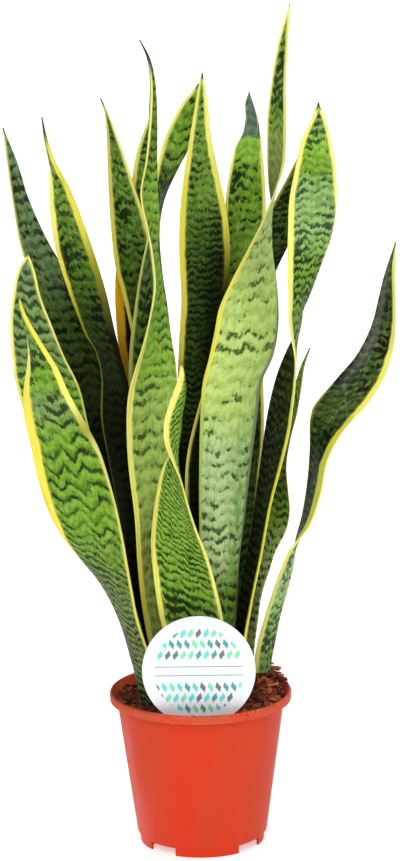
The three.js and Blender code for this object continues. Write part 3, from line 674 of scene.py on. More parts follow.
LEAVES = [
    dict(
        name="leaf_01", width=37, depth=(39, 90), cup=(-4, -2),
        margins=[
            (92, -39, -22), (160, -53, -33), (210, -68.5, -43), (260, -83, -52), (310, -99, -61),
            (360, -112, -72), (400, -121.5, -85), (430, -128, -98.5), (460, -135.5, -115.5),
            (490, -140, -128.5), (518, -144, -136.5), (545, -147, -147)
        ],
        front=[(400, "fern"), (450, "forest")], spacing=9, cover=0.36, broken=0.7, left=1.3,
        left_rim=[(92, "night"), (360, "bronze"), (430, "straw")], right=0,
        painted_shade=[(250, 0.92), (300, 0.88), (340, 0.73), (383, 0.42), (430, 0.2), (480, 0)],
        sheen=[(400, 0), (450, 0.12)], sheen_at=0.3, dry=6,
    ),
    dict(
        name="leaf_02", width=32, depth=(17, 15), turned=-1, cup=(4, 2),
        margins=[
            (92, -36, -16), (160, -47, -29), (210, -56.5, -37), (260, -62.5, -41), (300, -69, -43),
            (330, -73.5, -46), (360, -72.5, -52), (380, -76.5, -57), (390, -82, -59),
            (400, -86.5, -61.5), (430, -96.5, -68), (460, -105, -76.5), (490, -108.5, -86.5),
            (510, -108.5, -94.5), (520, -108, -99.5), (530, -109, -104.5), (545, -111.5, -109.5),
            (561, -113, -113)
        ],
        front=[(92, "fern"), (400, "moss"), (480, "moss"), (510, "leaf")],
        spacing=[(92, 9), (561, 8)], cover=0.36, broken=0.8,
        left=[(92, 1), (312, 1.5), (373, 2.4), (440, 3.4), (487, 4.4), (517, 2.6), (561, 0)],
        left_rim=[(300, "bronze"), (373, "olive"), (407, "olive"), (441, "gold"), (490, "lemon")],
        right=[(92, 3), (407, 4.5), (463, 5), (487, 4.5), (517, 3), (561, 0.6)],
        right_rim=[(395, "night"), (418, "bronze"), (450, "olive"), (480, "gold")],
        painted_shade=[
            (260, 0.9), (320, 0.94), (350, 0.91), (385, 0.84), (415, 0.62), (440, 0.3), (475, 0)
        ],
        dry=26,
    ),
    dict(
        name="leaf_03", width=48, depth=(18, -20), turned=-1, cup=(4, 2),
        margins=[
            (92, -45, -33), (130, -48, -37), (150, -51, -41), (170, -57, -45), (190, -65, -50),
            (230, -84, -59), (270, -103, -67.5), (300, -116, -74), (330, -127.5, -82),
            (360, -136, -88), (385, -138.5, -99), (410, -139, -108), (430, -136.5, -115),
            (450, -132, -119), (464, -123.5, -123.5)
        ],
        front=[(335, "grass"), (355, "lime"), (385, "sage"), (430, "sage"), (464, "slate")],
        spacing=[(92, 7), (464, 9)], cover=0.42, broken=0.3, slant=-0.25, left=[(92, 4), (464, 2)],
        left_rim=[(92, "gold"), (400, "lemon")], right=[(92, 0.8), (330, 1), (464, 1.5)],
        right_rim=[(92, "straw"), (400, "lemon")], painted_shade=[(250, 0.5), (300, 0.2), (340, 0)], dry=3,
    ),
    dict(
        name="leaf_04", width=54, depth=(-8, -90), turned=-1, cup=(5, 3),
        margins=[
            (92, -45, -26), (130, -49.5, -32), (150, -54, -36), (170, -59, -42), (190, -66.5, -47),
            (210, -77, -50), (230, -91, -53), (250, -103.5, -56), (275, -113.5, -60.5),
            (300, -119.5, -66), (325, -123.5, -73), (350, -127.5, -84.5), (370, -127, -93.5),
            (390, -123.5, -101), (410, -122.5, -112), (430, -125, -122.5), (443, -127, -127)
        ],
        front=[
            (205, "drab"), (235, "leaf"), (262, "grass"), (335, "grass"), (358, "sage"),
            (376, "grass"), (443, "leaf")
        ],
        spacing=[(200, 6), (232, 6.6), (252, 8.6), (280, 13), (330, 14), (443, 7)],
        cover=[(92, 0.5), (225, 0.44), (252, 0.32), (330, 0.28), (370, 0.34), (443, 0.4)],
        broken=[(92, 0.5), (232, 0.3), (262, 0.1), (330, 0.14), (370, 0.8)],
        zigzag=[(92, 2), (220, 3), (262, 9), (340, 9), (380, 4)], sweep=9.5,
        slant=[(92, -0.4), (230, -0.35), (300, 0)],
        left=[(215, 0), (240, 3), (262, 5.5), (290, 7), (350, 7.6), (386, 5), (443, 3)],
        left_rim=[(360, "gold"), (400, "lemon")],
        right=[(92, 1.1), (300, 1.5), (319, 2.2), (335, 4.6), (364, 4.6), (386, 4), (443, 2)],
        right_rim=[(92, "citron"), (325, "straw"), (338, "olive"), (362, "lemon"), (400, "gold")],
        painted_shade=[(92, 0.1), (130, 0)], dry=3,
    ),
    dict(
        name="leaf_05", width=34, depth=(41, 78),
        margins=[
            (92, -18, 0), (160, -23, -4.5), (210, -28, -10), (260, -33, -14.5), (310, -38, -18),
            (350, -43.5, -21), (380, -48, -23.5), (410, -54, -26), (440, -61.5, -30),
            (470, -64.5, -36.5), (500, -66, -46), (530, -66.5, -55.5), (555, -67.5, -65),
            (568, -71, -71)
        ],
        front=[
            (92, "fern"), (400, "moss"), (470, "moss"), (505, "leaf"), (525, "leaf"),
            (538, "fern")
        ],
        spacing=8, cover=0.36, broken=0.85, zigzag=4,
        left=[(92, 2.2), (395, 2.6), (440, 3.2), (500, 3.2), (568, 0.8)],
        left_rim=[(380, "bronze"), (395, "straw"), (430, "gold"), (540, "straw")],
        right=[(92, 3), (475, 2.8), (568, 0.8)], right_rim=[(92, "gold"), (500, "lemon")],
        painted_shade=[(340, 0.92), (380, 0.75), (420, 0.5), (460, 0.06), (500, 0)], dry=9,
    ),
    dict(
        name="leaf_06", width=32, depth=(53, 90),
        margins=[
            (92, -15, 3), (160, -21, -1), (210, -29, -9), (260, -35.5, -15), (310, -43.5, -21.5),
            (340, -51, -28), (370, -59, -34), (400, -62, -35.5), (430, -62, -34.5),
            (460, -57, -31.5), (490, -50.5, -30), (520, -45.5, -31), (540, -39, -32),
            (551, -34, -34)
        ],
        front=[(470, "fern"), (510, "leaf")], spacing=6, cover=0.45, broken=0.6,
        left=[(92, 3), (330, 3.5), (365, 7), (440, 8), (480, 4), (520, 3), (551, 1.5)],
        left_rim=[
            (330, "olive"), (365, "rust"), (390, "amber"), (440, "amber"), (480, "gold"),
            (520, "lemon")
        ],
        right=[(92, 2), (551, 1)], painted_shade=[(330, 0.95), (430, 0.8), (475, 0.4), (500, 0)], dry=4,
    ),
    dict(
        name="leaf_07", width=40, depth=(2, -45), cup=(-3, -3),
        margins=[
            (92, -31, -8), (140, -36.5, -12), (180, -43, -19), (220, -46.5, -23),
            (260, -48, -22.5), (300, -52, -19.5), (330, -53, -16.5), (355, -51.5, -15),
            (375, -46.5, -15.5), (395, -40, -18.5), (415, -34.5, -21), (440, -29.5, -24.5),
            (465, -31, -27.5), (485, -34.5, -26), (510, -39, -27), (535, -34, -27),
            (565, -30.5, -26.5), (590, -29.5, -27.5), (608, -32, -31), (622, -38, -38)
        ],
        front=[
            (110, "drab"), (150, "olive"), (245, "olive"), (275, "pear"), (350, "pear"),
            (375, "lime"), (515, "lime"), (545, "leaf")
        ],
        back=[(92, "fern"), (500, "moss")],
        spacing=[(92, 8), (200, 11), (260, 14), (340, 13), (370, 9), (622, 7)],
        cover=[(92, 0.24), (260, 0.2), (340, 0.26), (420, 0.22), (500, 0.3), (622, 0.4)],
        broken=0.4, zigzag=[(340, 5), (380, 3)], sweep=9,
        left=[(92, 3.4), (262, 4.6), (420, 4.4), (480, 3.4), (540, 2.4), (622, 0.4)],
        left_rim=[(150, "straw"), (200, "gold"), (300, "lemon")],
        right=[(92, 1.2), (300, 0.8), (345, 0)], right_rim="olive", painted_shade=[(92, 0.1), (160, 0)],
        sheen=[(380, 0), (415, -0.6), (500, -0.6), (530, 0)], sheen_at=0.2, dry=34,
    ),
    dict(
        name="leaf_08", width=34, depth=(26, 38),
        margins=[
            (92, -30, -10), (160, -33, -13.5), (210, -39.5, -19), (260, -43.5, -20),
            (310, -48.5, -19), (350, -52, -17.5), (380, -51, -18.5), (410, -47, -21.5),
            (440, -42, -25.5), (470, -35, -27), (495, -31, -22.5), (520, -28, -11),
            (530, -25.5, -5.5), (545, -20.5, -0.5), (565, -10, 3.5), (582, 4, 4)
        ],
        front=[(440, "moss"), (470, "fern"), (512, "fern"), (526, "leaf"), (540, "grass")],
        back="moss", spacing=[(92, 9), (530, 11)], cover=[(92, 0.38), (505, 0.5), (530, 0.28)],
        broken=[(92, 0.7), (510, 0.6), (532, 0.15)], zigzag=5, left=[(92, 2.4), (582, 2.6)],
        left_rim=[(440, "straw"), (480, "lemon")], right=[(545, 0), (570, 1.2)], right_rim="straw",
        painted_shade=[(330, 0.35), (430, 0.12), (500, 0.06), (530, 0)], sheen=[(500, 0.5), (515, 0)],
        sheen_at=0.6, dry=5,
    ),
    dict(
        name="leaf_09", width=34, depth=(22, 30),
        margins=[
            (92, -13, 11), (160, -13, 12), (210, -13, 12.5), (260, -13.5, 14), (310, -15.6, 16),
            (350, -15, 18), (390, -13, 20), (420, -11, 23), (450, -12, 26.5), (480, -11.5, 25),
            (510, -8.5, 19.5), (540, -3.5, 13.5), (565, 1, 11), (581, 4, 9), (591, 7, 7)
        ],
        front=[(440, "fern"), (478, "moss"), (500, "leaf")], spacing=[(470, 5.4), (500, 6.4)],
        cover=[(92, 0.5), (470, 0.48), (498, 0.26)], broken=[(92, 0.35), (480, 0.4), (510, 0.7)],
        zigzag=2, left=[(92, 3.4), (350, 4), (440, 4.6), (510, 4.2), (550, 3), (591, 1)],
        left_rim=[(310, "night"), (345, "olive"), (380, "gold"), (500, "gold"), (550, "lemon")],
        right=[(92, 2), (420, 3), (450, 4.4), (520, 4.4), (560, 3), (591, 1)],
        right_rim=[(422, "night"), (438, "bronze"), (455, "olive"), (480, "gold"), (560, "lemon")],
        painted_shade=[
            (250, 0.9), (300, 0.66), (350, 0.42), (400, 0.4), (440, 0.34), (470, 0.2), (500, 0)
        ],
        painted_shade_right=[(300, 0.97), (400, 0.93), (440, 0.8), (470, 0.4), (500, 0.05)], dry=7,
    ),
    dict(
        name="leaf_10", width=36, depth=(37, 64),
        margins=[
            (92, 10, 34), (160, 10, 38), (210, 11, 42), (260, 13.5, 47), (310, 17, 51.5),
            (350, 19, 51.5), (390, 20.5, 52.5), (420, 21, 53.5), (450, 22, 54), (480, 23, 54.5),
            (505, 25.5, 54), (530, 31, 52), (541, 37, 50.5), (552, 39.5, 49), (564, 39.5, 45.5),
            (573, 42.5, 42.5)
        ],
        front=[
            (400, "fern"), (435, "leaf"), (478, "grass"), (514, "grass"), (526, "lime"),
            (537, "lime"), (541, "slate")
        ],
        spacing=8, cover=[(92, 0.4), (440, 0.36), (500, 0.34), (514, 0.5), (522, 0.5), (526, 0)],
        broken=[(522, 0.8), (526, 0.1)], zigzag=3.4, left=[(520, 1.8), (540, 0)], left_rim="lemon",
        right=[(520, 2.4), (540, 0)], right_rim="lemon",
        painted_shade=[(200, 0.4), (300, 0.3), (400, 0.22), (440, 0.05), (460, 0)],
        sheen=[(538, 0), (545, 0.4)], dry=2,
    ),
    dict(
        name="leaf_11", width=48, depth=(-4, -8), cup=(4, 2),
        margins=[
            (92, 2, 24), (140, 2, 25), (180, 1.5, 28), (220, 1, 31), (260, 0.5, 36), (300, 1, 41),
            (330, 2, 45), (360, 4, 49), (380, 9, 57.5), (400, 13.5, 61.5), (420, 17.5, 62),
            (440, 26, 60.5), (460, 36, 58), (480, 46.5, 57.5), (495, 53.5, 57.5), (510, 60, 55.5),
            (530, 66.5, 54.5), (560, 68, 55), (590, 68, 58.5), (615, 69.5, 63), (632, 71, 67.5),
            (644, 71.5, 71.5)
        ],
        front=[(170, "moss"), (202, "leaf"), (228, "mint"), (310, "mint"), (340, "frost")],
        back=[(92, "olive"), (500, "drab"), (545, "olive"), (557, "grass"), (566, "leaf")],
        spacing=[(92, 8), (300, 10), (340, 14), (480, 11), (500, 9), (644, 7)],
        cover=[
            (92, 0.4), (222, 0.36), (300, 0.24), (340, 0.12), (510, 0.12), (560, 0.1), (572, 0.42)
        ],
        broken=[(92, 0.4), (340, 0.5), (560, 0.7)], zigzag=5, sweep=10,
        left=[
            (92, 1), (300, 1.6), (340, 2.4), (400, 3), (490, 3.2), (520, 4.6), (570, 4.6),
            (644, 1.6)
        ],
        left_rim=[(340, "pea"), (385, "gold"), (540, "lemon")],
        right=[
            (92, 1), (230, 1.6), (300, 2.8), (360, 3), (440, 1), (495, 0.6), (515, 2), (644, 1.4)
        ],
        right_rim=[(480, "ash"), (505, "lemon")], painted_shade=[(92, 0.1), (150, 0)],
        sheen=[(170, 0), (215, -0.8), (310, -0.7), (345, 0)], sheen_at=0.5, dry=2,
    ),
    dict(
        name="leaf_12", width=32, depth=(4, 45), lean=2.2,
        margins=[
            (92, -4, 17), (160, -5, 19), (210, -8.5, 19), (260, -10, 21), (300, -8.5, 24.5),
            (340, 1, 30), (380, 13.5, 39.5), (410, 22.5, 49.5), (440, 33.5, 61), (470, 47.5, 75.5),
            (500, 64.5, 84.5), (525, 78, 86.5), (542, 84, 84)
        ],
        front="fern", spacing=6, cover=0.5, broken=0.6, zigzag=2.4, left=[(92, 2.4), (542, 1.6)],
        left_rim=[(92, "gold"), (300, "lemon"), (370, "gold"), (400, "bronze"), (490, "olive")],
        right=0, painted_shade=[(430, 0.9), (470, 0.4), (542, 0)], dry=4,
    ),
    dict(
        name="leaf_13", width=44, depth=(8, -60), turned=-1, cup=(-4, -2),
        margins=[
            (92, 25, 32), (150, 27, 32.5), (190, 31, 39), (230, 38.5, 47), (270, 44, 54),
            (300, 48, 61.5), (325, 51.5, 67.5), (345, 55, 70.5), (365, 60, 72.5), (385, 67.5, 73),
            (405, 77.5, 69.5), (418, 80, 68), (430, 85, 68), (455, 93.5, 67.5), (480, 101, 68),
            (505, 104, 69), (530, 102.5, 73.5), (550, 99, 78), (565, 95, 85), (577, 90, 90)
        ],
        front=[(400, "shade"), (450, "moss")],
        back=[
            (92, "moss"), (400, "leaf"), (455, "grass"), (480, "jade"), (515, "jade"),
            (528, "grass"), (545, "lime"), (565, "sage")
        ],
        spacing=[(390, 8), (430, 7), (577, 6)],
        cover=[(92, 0.45), (440, 0.46), (515, 0.44), (530, 0.2), (545, 0.2), (560, 0.42)],
        broken=[(92, 0.25), (400, 0.3), (440, 0.6)], left=[(420, 0), (495, 0.4), (510, 2.4)],
        left_rim="lemon",
        right=[(92, 3.6), (230, 4), (365, 4.2), (430, 4), (480, 4), (530, 3.2), (577, 2)],
        right_rim=[(300, "gold"), (365, "lemon")],
        painted_shade=[(92, 0.6), (200, 0.5), (300, 0.4), (370, 0.25), (400, 0)], painted_shade_behind=0, dry=7,
    ),
    dict(
        name="leaf_14", width=36, depth=(16, 5), cup=(4, 2),
        margins=[
            (92, 42, 54), (130, 41.5, 54.5), (150, 43.5, 58), (170, 48.5, 62), (190, 54.5, 67.5),
            (210, 61, 72.5), (230, 69.5, 75), (250, 84.5, 80), (275, 93, 84), (300, 98, 86),
            (320, 108.5, 86), (330, 118, 86.5), (340, 128, 89.5), (360, 141, 106),
            (380, 147.5, 122.5), (400, 150, 132.5), (420, 150, 137.5), (440, 149.5, 142),
            (465, 150, 150)
        ],
        front=[(92, "leaf"), (150, "sage"), (180, "jade"), (230, "mint")], back="dusk", spacing=7,
        cover=[(92, 0.36), (230, 0.3), (260, 0.46)], broken=0.85,
        left=[(92, 1.8), (200, 2.4), (235, 4), (350, 4.6), (400, 3.4), (440, 2.8), (465, 1)],
        left_behind=[
            (225, 4), (244, 18), (275, 21), (300, 12), (325, 4.4), (350, 4.6), (400, 3.4),
            (440, 2.8)
        ],
        left_rim=[
            (200, "straw"), (228, "gold"), (245, "painted_light_acid"), (300, "painted_light_acid"), (325, "gold"),
            (400, "lemon")
        ],
        right=[(92, 0.4), (230, 1), (300, 0.6), (312, 1.4), (345, 1.6), (360, 0)],
        right_rim="olive", painted_shade_behind=0, sheen=[(345, 0), (375, 0.45)], sheen_at=0.55, dry=6,
    ),
    dict(
        name="leaf_15", width=30, depth=(20, 40), turned=-1,
        margins=[
            (92, 29.5, 41), (140, 31, 41), (170, 33.5, 44.5), (190, 35.5, 47.5), (210, 38.5, 54),
            (225, 41.5, 59), (240, 44.5, 67), (255, 48.5, 70), (270, 52, 69), (290, 57, 67.5),
            (310, 63, 70.5), (330, 69, 76), (350, 75.5, 79.5), (365, 80.5, 82), (379, 87, 87)
        ],
        front=[(215, "painted_light_chalk"), (250, "lime")], back="moss", spacing=7, cover=0.4, broken=0.5,
        left=1, left_rim="olive", right=[(225, 0), (270, 0.8)], right_rim="olive", dry=8,
    ),
    dict(
        name="leaf_16", width=50, depth=(-24, -62), turned=-1, cup=(-5, -4),
        margins=[
            (92, -16, 14), (130, -21, 16), (150, -24, 18), (170, -27, 19), (190, -31, 17),
            (215, -34, 12), (240, -36, 6), (260, -34.5, -1), (280, -31.5, -7), (300, -27, -12.5),
            (315, -20, -18.5), (330, -13.5, -24), (345, -11.5, -24), (360, -9, -19.5),
            (375, -9, -14), (388, -11, -11)
        ],
        front=[(180, "leaf"), (205, "grass"), (290, "lime"), (388, "grass")],
        back=[(290, "leaf"), (320, "lime"), (388, "grass")],
        spacing=[(92, 9), (200, 8.4), (238, 5), (275, 4.2), (310, 4.8), (388, 4.2)],
        cover=[(92, 0.54), (200, 0.46), (238, 0.44), (300, 0.42), (388, 0.38)],
        broken=[(92, 0.6), (205, 0.45), (240, 0.2), (388, 0.1)], zigzag=1.5,
        slant=[(92, -0.1), (180, -0.35), (260, -0.6)],
        left=[(92, 3.6), (300, 4), (320, 2.6), (388, 2)], left_rim=[(92, "gold"), (300, "lemon")],
        right=[(92, 2.2), (280, 2.8), (320, 4), (388, 3)], right_rim="lemon", dry=3,
    ),
]


LOOKS_BY_HEIGHT = ("spacing", "cover", "broken", "zigzag", "slant", "painted_shade", "sheen")


def mix(low, high, share):
    return low + (high - low) * share


def smooth(value, low, high):
    share = min(1, max(0, (value - low) / (high - low)))
    return share * share * (3 - 2 * share)


def between_stops(stops, height):
    """The values of the stops below and above a height, and how far it is between them."""
    if not isinstance(stops, list):
        return stops, stops, 0
    for (low, first), (high, second) in zip(stops, stops[1:]):
        if height < high:
            return first, second, min(1, max(0, (height - low) / (high - low)))
    return stops[-1][1], stops[-1][1], 0


def level(stops, height):
    return mix(*between_stops(stops, height))


def tint(stops, height, palette, part=None):
    """The colour at a height, from stops that name colours, or sets of them, in a palette."""
    first, second, share = between_stops(stops, height)
    pair = [palette[name] if part is None else palette[name][part] for name in (first, second)]
    return [mix(a, b, share) for a, b in zip(linear(*pair[0]), linear(*pair[1]))] + [1]


def curve_through(points, place):
    """A smooth curve through the points, at a place from 0 to the last point's number."""
    index = min(int(place), len(points) - 2)
    share = place - index
    first, second = Vector(points[index]), Vector(points[index + 1])
    before = Vector(points[index - 1]) if index else 2 * first - second
    after = Vector(points[index + 2]) if index + 2 < len(points) else 2 * second - first
    leave = (second - before) / 2
    arrive = (after - first) / 2
    bow = 3 * (second - first) - 2 * leave - arrive
    ease = 2 * (first - second) + leave + arrive
    return first + share * (leave + share * (bow + share * ease))


def blade_width(leaf, along):
    swell = mix(WIDTH_AT_FOOT, 1, smooth(along, 0, FULL_WIDTH_AT))
    past = max(0, along - FULL_WIDTH_AT) / (1 - FULL_WIDTH_AT)
    return max(TIP_WIDTH, leaf["width"] * swell * (1 - past**TIP_TAPER))


class BladeRow:
    """One row across a blade: where its middle is, which way it faces, its form and its looks."""

    def __init__(self, leaf, place):
        height, left, right = curve_through(leaf["margins"], place)
        top = leaf["margins"][-1][0]
        along = min(1, max(0, (height - LEAF_FOOT) / (top - LEAF_FOOT)))
        seen = right - left
        self.height = height
        self.width = max(blade_width(leaf, along), WIDER_THAN_SEEN * abs(seen))
        turn = acos(seen / self.width)
        self.across = Vector((cos(turn), leaf["turned"] * sin(turn), 0))
        self.facing = Vector((leaf["turned"] * sin(turn), -cos(turn), 0))
        depth = mix(*leaf["depth"], along ** leaf["lean"])
        self.middle = Vector(((left + right) / 2, depth, height))
        self.slender = min(1, self.width / SLENDER_WIDTH)
        self.cup = mix(*leaf["cup"], smooth(along, 0, CUP_SETTLES)) * self.slender
        self.midrib = mix(*MIDRIB_THICKNESS, along**MIDRIB_THINNING)
        self.margin = mix(*MARGIN_THICKNESS, along)
        self.looks = {name: level(leaf[name], height) for name in LOOKS_BY_HEIGHT}

    def point(self, v, side):
        """A point of the skin: v is -1 to 1 across the blade, side 1 in front and -1 behind."""
        bulge = 1 - v * v
        edge = max(0, abs(v) - MARGIN_FROM) / (1 - MARGIN_FROM)
        thickness = mix(self.margin, self.midrib, bulge * self.slender)
        thickness *= sqrt(1 - MARGIN_ROUNDING * edge**2)
        return (
            self.middle
            + self.across * (v * self.width / 2)
            + self.facing * (self.cup * bulge + side * thickness / 2)
        )


# What the leaf shader reads at each vertex. In order, the values are: blade, how far across,
# along and in from the margin; bands, their count, their rate and their reach; tone, the
# margin's breadth, the painted shade and the dryness; draw, the leaf, the zigzag and the slant;
# and last, how broken the bands are, the painted sheen and the sweep.
VALUE_LAYERS = ("blade", "bands", "tone", "draw", "breaks_sheen_sweep")
COLOUR_LAYERS = ("rim", "ground", "cloud", "band")
BACK_APART = 0.4


def grow_leaf(number, leaf):
    """Lays out a flat blank, gives it a thickness, and bends it into the blade's form."""
    blank = bmesh.new()
    bmesh.ops.create_grid(blank, x_segments=COLUMNS, y_segments=ROWS, size=1)
    bmesh.ops.solidify(blank, geom=blank.faces[:], thickness=0.5)
    bmesh.ops.recalc_face_normals(blank, faces=blank.faces)
    lowest = min(vert.co.z for vert in blank.verts)
    highest = max(vert.co.z for vert in blank.verts)
    layers = blank.verts.layers
    values_at = [layers.float_vector.new(name) for name in VALUE_LAYERS]
    colours_at = [layers.float_color.new(name) for name in COLOUR_LAYERS]

    last = len(leaf["margins"]) - 1
    rows = [BladeRow(leaf, last * row / ROWS) for row in range(ROWS + 1)]
    run = [0]
    turns = [0]
    for low, high in zip(rows, rows[1:]):
        length = (high.middle - low.middle).length
        run.append(run[-1] + length)
        turns.append(turns[-1] + length / high.looks["spacing"])

    for vert in blank.verts:
        number_up = round((vert.co.y + 1) / 2 * ROWS)
        row = rows[number_up]
        v = sin(vert.co.x * pi / 2)
        side = 1 if vert.co.z > (lowest + highest) / 2 else -1
        height = row.height
        half_width = row.width / 2
        here = row.looks
        margin = "left" if v < 0 else "right"
        rim = leaf[margin] if side > 0 else leaf.get(margin + "_behind", leaf[margin])
        # The painted shade: the blade darkens deep in the clump, more on its right half where a leaf
        # asks for it, and only a share of it on the back.
        painted_shade = here["painted_shade"]
        if "painted_shade_right" in leaf:
            painted_shade = mix(painted_shade, level(leaf["painted_shade_right"], height), smooth(v, *RIGHT_HALF))
        if side < 0:
            painted_shade *= leaf["painted_shade_behind"]
        dry = smooth(run[-1] - run[number_up], leaf["dry"], leaf["dry"] * DRY_THROUGH)
        # A painted grey sheen along one line of the blade, for the sky's reflection on its curve;
        # below 0 it is a flush of fresh green instead.
        sheen = here["sheen"] * exp(-((v - leaf["sheen_at"]) / SHEEN_BREADTH) ** 2)
        grown_as = number + (BACK_APART if side < 0 else 0)
        values = (
            (v * half_width, run[number_up], (1 - abs(v)) * half_width),
            (turns[number_up], 1 / here["spacing"], cos(pi * here["cover"])),
            (level(rim, height), painted_shade, dry),
            (grown_as, here["zigzag"], here["slant"]),
            (here["broken"], sheen, leaf["sweep"]),
        )
        greens = leaf["front" if side > 0 else "back"]
        colours = [tint(leaf[margin + "_rim"], height, RIMS)]
        colours += [tint(greens, height, GREENS, part) for part in range(3)]
        for layer, value in zip(values_at + colours_at, (*values, *colours)):
            vert[layer] = value
        vert.co = row.point(v, side) * MM
    bmesh.ops.recalc_face_normals(blank, faces=blank.faces)
    return mesh_object("grown_" + leaf["name"], blank)


# Near black: the painted shade deep in the clump, and the dark streaks along the margins.
LEAF_SHADE_AND_STREAKS = linear(5, 7, 3)
# Pale flecks over the green: partly painted glints, partly the blade's own paler mottling.
LEAF_PALE_FLECKS = linear(178, 204, 136)
LEAF_FLUSH = linear(104, 160, 40)
# The grey of the painted sheen, the sky's reflection along a blade.
PAINTED_SHEEN_GREY = linear(112, 114, 116)
DRY_TIP = linear(66, 58, 34)
LEAVES_APART = 17.3
# How far the bands are shifted, and how soft the margins' edges are, in millimetres.
SWING_DRIFT = 22
TEETH = 5
WANDER = 12
MARGIN_EDGE = 0.4
MARGIN_SHADE = 1.6

skin = Finish("leaf_skin", {"Specular IOR Level": 0.06})
across, along, inward = skin.split(skin.attribute("blade"))
phase, rate, reach = skin.split(skin.attribute("bands"))
rim, painted_shade, dry = skin.split(skin.attribute("tone"))
grown_as, zigzag, slant = skin.split(skin.attribute("draw"))
broken, sheen, sweep = skin.split(skin.attribute("breaks_sheen_sweep"))


def grain(width, length, detail=2.0, shift=0.0):
    """Noise drawn out along the blade, with lumps of the given width and length.

    The shift only keeps one noise apart from the others.
    """
    place = skin.vector(across / width, along / length, grown_as * LEAVES_APART + shift)
    return skin.noise(place, 1, detail)


# The bands: a cosine along the blade, shifted by the zigzag, small teeth and a slow wander,
# and broken up by patches. Then the clouding between them, the pale flecks, the painted shade,
# the painted sheen and the yellow margins.
weave = across + (grain(26, 60) - 0.5) * SWING_DRIFT + grown_as * 5.3
swing = skin.maths("PINGPONG", weave, sweep) / sweep
teeth = (grain(1.2, 5, 2, 3.1) - 0.5) * TEETH
wander = (grain(9, 26, 2, 6.2) - 0.5) * WANDER
shift_along = (swing - 0.5) * zigzag + teeth + wander - across * slant
turn = (phase + shift_along * rate) * tau
patches = (grain(2.8, 3.8, 3, 9.4) - 0.5) * (0.5 + broken * 6.8)
clusters = (grain(20, 24, 1, 12.5) - 0.5) * (0.6 + broken * 6)
rows = skin.maths("COSINE", turn) * (1 - broken * 0.5)
bands = skin.step(rows + patches + clusters - reach, -0.35, 0.55)
depth_of_band = skin.maths("MINIMUM", 0.45 + grain(7, 8, 1, 44.2) * 1.1, 1)
specks = skin.step(grain(1.4, 3, 2, 15.1), 0.62, 0.72) * skin.step(grain(12, 18, 1, 2), 0.45, 0.6)
trailing = skin.maths("COSINE", turn - 0.9) * 0.5
cells = (grain(4, 5, 3, 18.7) - 0.5) * 4
streaks = (grain(1.3, 26, 2, 21.9) - 0.5) * 2.4
clouding = skin.step(trailing + cells + streaks, -0.7, 0.7)
# Pale flecks, partly painted glints and partly the blade's own paler mottling; they fade under the
# painted shade.
pale_flecks = skin.step(grain(3.4, 4, 2, 47.3), 0.5, 0.75) * 0.24

blade_green = skin.mix(skin.attribute("ground", "Color"), skin.attribute("cloud", "Color"), clouding)
flushed = skin.maths("MAXIMUM", 0 - sheen, 0) * skin.step(grain(5, 9, 2, 50.6), 0.4, 0.55)
blade_green = skin.mix(blade_green, LEAF_FLUSH, flushed)
blade_green = skin.mix(blade_green, LEAF_PALE_FLECKS, pale_flecks * (1 - painted_shade))
dark = skin.maths("MAXIMUM", bands * depth_of_band, specks * 0.5)
blade_green = skin.mix(blade_green, skin.attribute("band", "Color"), dark)
# Painted shade: the blade darkens towards near black where it stands deep in the clump.
shaded_green = skin.mix(blade_green, LEAF_SHADE_AND_STREAKS, painted_shade)
# Painted sheen: grey streaks for the sky's reflection along the curve of some blades.
painted_sheen = skin.maths("MAXIMUM", sheen, 0) * (0.3 + grain(1.4, 70, 2, 53.9) * 1.4)
shaded_green = skin.mix(shaded_green, PAINTED_SHEEN_GREY, painted_sheen)

edge_wander = (skin.noise(skin.vector(grown_as * 3, along / 9, across / 60), 1, 3) - 0.5) * 0.5
rim_edge = inward - rim * (1 + edge_wander)
has_rim = skin.step(rim, 0.1, 0.5)
in_rim = (1 - skin.step(rim_edge, -MARGIN_EDGE, MARGIN_EDGE)) * has_rim
beside_rim = (1 - skin.step(rim_edge, 0, MARGIN_SHADE)) * 0.3 * has_rim
streak = skin.step(grain(0.9, 70, 1, 25.3), 0.62, 0.7) * (1 - skin.step(rim_edge, 0.4, 3)) * 0.4
rim_tint = skin.attribute("rim", "Color")
rim_tint = skin.mix(rim_tint, LEAF_SHADE_AND_STREAKS, skin.step(grain(1, 30, 2, 28.4), 0.45, 0.75) * 0.22)
shaded_green = skin.mix(shaded_green, rim_tint, skin.maths("MAXIMUM", streak, beside_rim))
surface = skin.mix(shaded_green, rim_tint, in_rim)
skin.show("Base Color", skin.mix(surface, DRY_TIP, dry))
skin.show("Roughness", 0.4 + grain(3, 12, 2, 31.2) * 0.22 + painted_shade * 0.3)
skin.bump(grain(0.9, 90, 2, 34.6) * 0.5 + grain(6, 20, 2, 37.1) * 0.5, 0.5 * MM, 0.6)

for number, looks in enumerate(LEAVES, start=1):
    leaf = {**USUAL, **looks}
    grown = grow_leaf(number, leaf)
    grown.data.materials.append(skin.material)
    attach(grown, "root")
    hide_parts(leaf["name"])

# Label: a round card of white plastic, die-cut in one with its pointed stake, which is pushed
# into the soil just inside the lip. It is printed with a generic pattern: staggered rows of
# slanted lozenges in greens and grey, over and under a plain ruled band.
LABEL_RADIUS = 42.7 * MM
LABEL_CENTRE = Vector((-1.1 * MM, -52 * MM, 150 * MM))
LABEL_THICKNESS = 1 * MM
LABEL_SIDES = 144
STAKE_WIDTH = 13 * MM
STAKE_SHOULDER = 74 * MM
STAKE_TIP = 58 * MM
STAKE_POINT = 0.3 * MM
CARD_EDGE = 0.22 * MM
CARD_ANGLE = radians(60)
CARD_WHITE = linear(236, 245, 250)
CARD_SHADE = linear(226, 236, 242)
